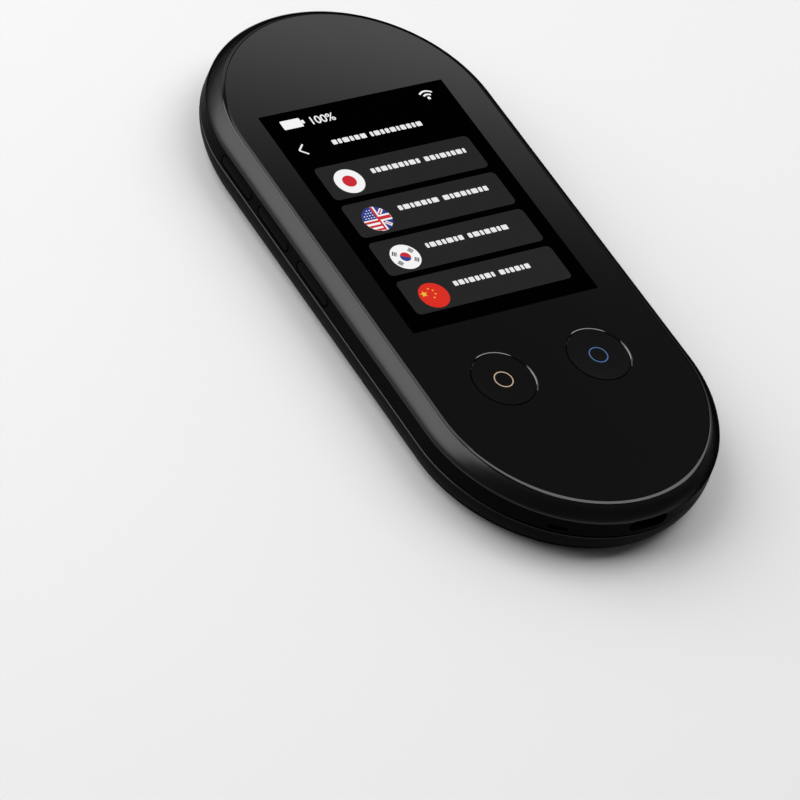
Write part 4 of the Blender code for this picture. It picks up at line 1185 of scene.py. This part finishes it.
def barred_badge(x, y, red, navy, dark):
    """Two-coloured disc between four groups of three bars."""
    half_turn = CORE_TURN + math.pi
    red.append(placed(x, y, arc(0, 0, CORE_SHARE, CORE_TURN, half_turn, SIGN_STEPS)))
    navy.append(placed(x, y, arc(0, 0, CORE_SHARE, half_turn, half_turn + math.pi, SIGN_STEPS)))
    for angle in BAR_ANGLES:
        turn = math.radians(angle)
        for out in BAR_SHARES:
            middle = (out * math.cos(turn), out * math.sin(turn))
            bar = band(*middle, BAR_HALF_LENGTH_SHARE, BAR_HALF_WIDTH_SHARE, turn + math.pi / 2)
            dark.append(placed(x, y, bar))


def starred_badge(x, y, yellow):
    """A large star and four small ones."""
    yellow.append(placed(x, y, star(*LARGE_STAR_SHARES)))
    for across, up in SMALL_STAR_SHARES:
        yellow.append(placed(x, y, star(across, up, SMALL_STAR_SHARE, SMALL_STAR_TURN)))


def make_badges():
    places = [badge_place(row) for row in range(CARD_COUNT)]
    white = []
    red = [circle(*places[0], BADGE_RADIUS * DISC_SHARE)]
    navy = []
    dark = []
    yellow = []
    dots = []
    striped_badge(*places[1], white, red, navy, dots)
    barred_badge(*places[2], red, navy, dark)
    starred_badge(*places[3], yellow)
    flat("badge_discs", [circle(*spot, BADGE_RADIUS) for spot in places[:3]], 3, WHITE)
    flat("badge_navy", navy, 2, NAVY)
    flat("badge_slants", white, 1.5, WHITE)
    flat("badge_red", red, 1, RED)
    flat("badge_warm_disc", [circle(*places[3], BADGE_RADIUS)], 1, WARM_RED)
    flat("badge_strokes", dark, 1, SCREEN_BLACK)
    flat("badge_dots", dots, 0, WHITE)
    flat("badge_stars", yellow, 0, YELLOW)


def make_screen():
    middle = (SCREEN_HEAD + SCREEN_FOOT) / 2
    outline = round_box(SCREEN_X, middle, SCREEN_HALF, (SCREEN_HEAD - SCREEN_FOOT) / 2, SCREEN_CORNER)
    flat("screen_area", [outline], 5, SCREEN_BLACK)
    heights = [CARD_FIRST_Y - row * CARD_PITCH for row in range(CARD_COUNT)]
    cards = [round_box(SCREEN_X, y, CARD_HALF_X, CARD_HALF_Y, CARD_CORNER) for y in heights]
    flat("screen_cards", cards, 4, CARD)
    make_status()
    make_charge()
    make_text()
    make_badges()


make_screen()


# Floor, light and world. A softbox has its direction, the line that its width follows, its size and radiance
FLOOR_HALF = 3.0
FLOOR_DROP = 0.0002
FLOOR_GREY = (0.70, 0.70, 0.70)
FLOOR_GRAIN = 800
FLOOR_BUMP = 0.03
FLOOR_BUMP_DEPTH = 0.0001
LIGHT_DISTANCE = 0.9
SOFTBOXES = {
    "left_box": ((-0.59, 0.50, 0.63), (0.43, 0.82, -0.37), (1.00, 1.00), 3.3),
    "top_box": ((0.50, 0.06, 0.872), (0.92, 0.0, -0.38), (0.92, 0.56), 2.9),
    "between_box": ((0.14, 0.50, 0.85), (0.92, 0.0, -0.38), (0.36, 0.30), 1.6),
}
PALE_SIDE = Vector((0.383, 0.663, -0.643))
PALE_RANGE = (0.112, 0.166)
PALE_POWER = 2.2
DARK_LEVEL = 0.08
PALE_LEVEL = 1.2


def make_floor():
    bm = bmesh.new()
    ends = (-FLOOR_HALF, FLOOR_HALF)
    corners = [(ends[0], ends[0]), (ends[1], ends[0]), (ends[1], ends[1]), (ends[0], ends[1])]
    bm.faces.new([bm.verts.new(corner) for corner in raised(corners, 0)])
    floor = bpy.data.objects.new("floor", new_mesh("floor", bm))
    made, tree, shader = new_material("floor_paper", FLOOR_GREY, 0.9, 0.1)
    noise = object_noise(tree, FLOOR_GRAIN, FINE_DETAIL)
    add_bump(tree, shader, noise.outputs["Fac"], FLOOR_BUMP, FLOOR_BUMP_DEPTH)
    floor.data.materials.append(made)
    floor.location.z = -FLOOR_DROP
    bpy.context.scene.collection.objects.link(floor)


def softbox(name, direction, along, size, radiance):
    """Area lamp that faces the object, its width in line with a direction."""
    width, height = size
    data = bpy.data.lights.new(name, "AREA")
    data.shape = "RECTANGLE"
    data.size = width
    data.size_y = height
    data.energy = radiance * math.pi * width * height
    lamp = bpy.data.objects.new(name, data)
    back = Vector(direction).normalized()
    lamp.matrix_world = Matrix.Translation(back * LIGHT_DISTANCE) @ turn_to(back, Vector(along))
    bpy.context.scene.collection.objects.link(lamp)


def make_light():
    """A large box on the left for the wall, one overhead for the rim's front arc and the buttons' edges, and
    a small one between them for the rim's flatter slopes."""
    for name, values in SOFTBOXES.items():
        softbox(name, *values)


def make_world():
    """Dark room with one pale side, and a soft change between the two that the glass mirrors."""
    world = bpy.data.worlds.new("studio")
    bpy.context.scene.world = world
    world.use_nodes = True
    tree = world.node_tree
    background = tree.nodes["Background"]
    direction = tree.nodes.new("ShaderNodeTexCoord")
    dot = tree.nodes.new("ShaderNodeVectorMath")
    dot.operation = "DOT_PRODUCT"
    dot.inputs[1].default_value = PALE_SIDE
    tree.links.new(direction.outputs["Generated"], dot.inputs[0])
    level = ramp_between(tree, dot.outputs["Value"], 0, 1, *PALE_RANGE)
    curve = tree.nodes.new("ShaderNodeMath")
    curve.operation = "POWER"
    curve.inputs[1].default_value = PALE_POWER
    tree.links.new(level, curve.inputs[0])
    strength = ramp_between(tree, curve.outputs["Value"], DARK_LEVEL, PALE_LEVEL, 0, 1)
    tree.links.new(strength, background.inputs["Strength"])
    background.inputs["Color"].default_value = (1, 1, 1, 1)


make_floor()
make_light()
make_world()
bpy.context.scene.view_settings.view_transform = "Standard"
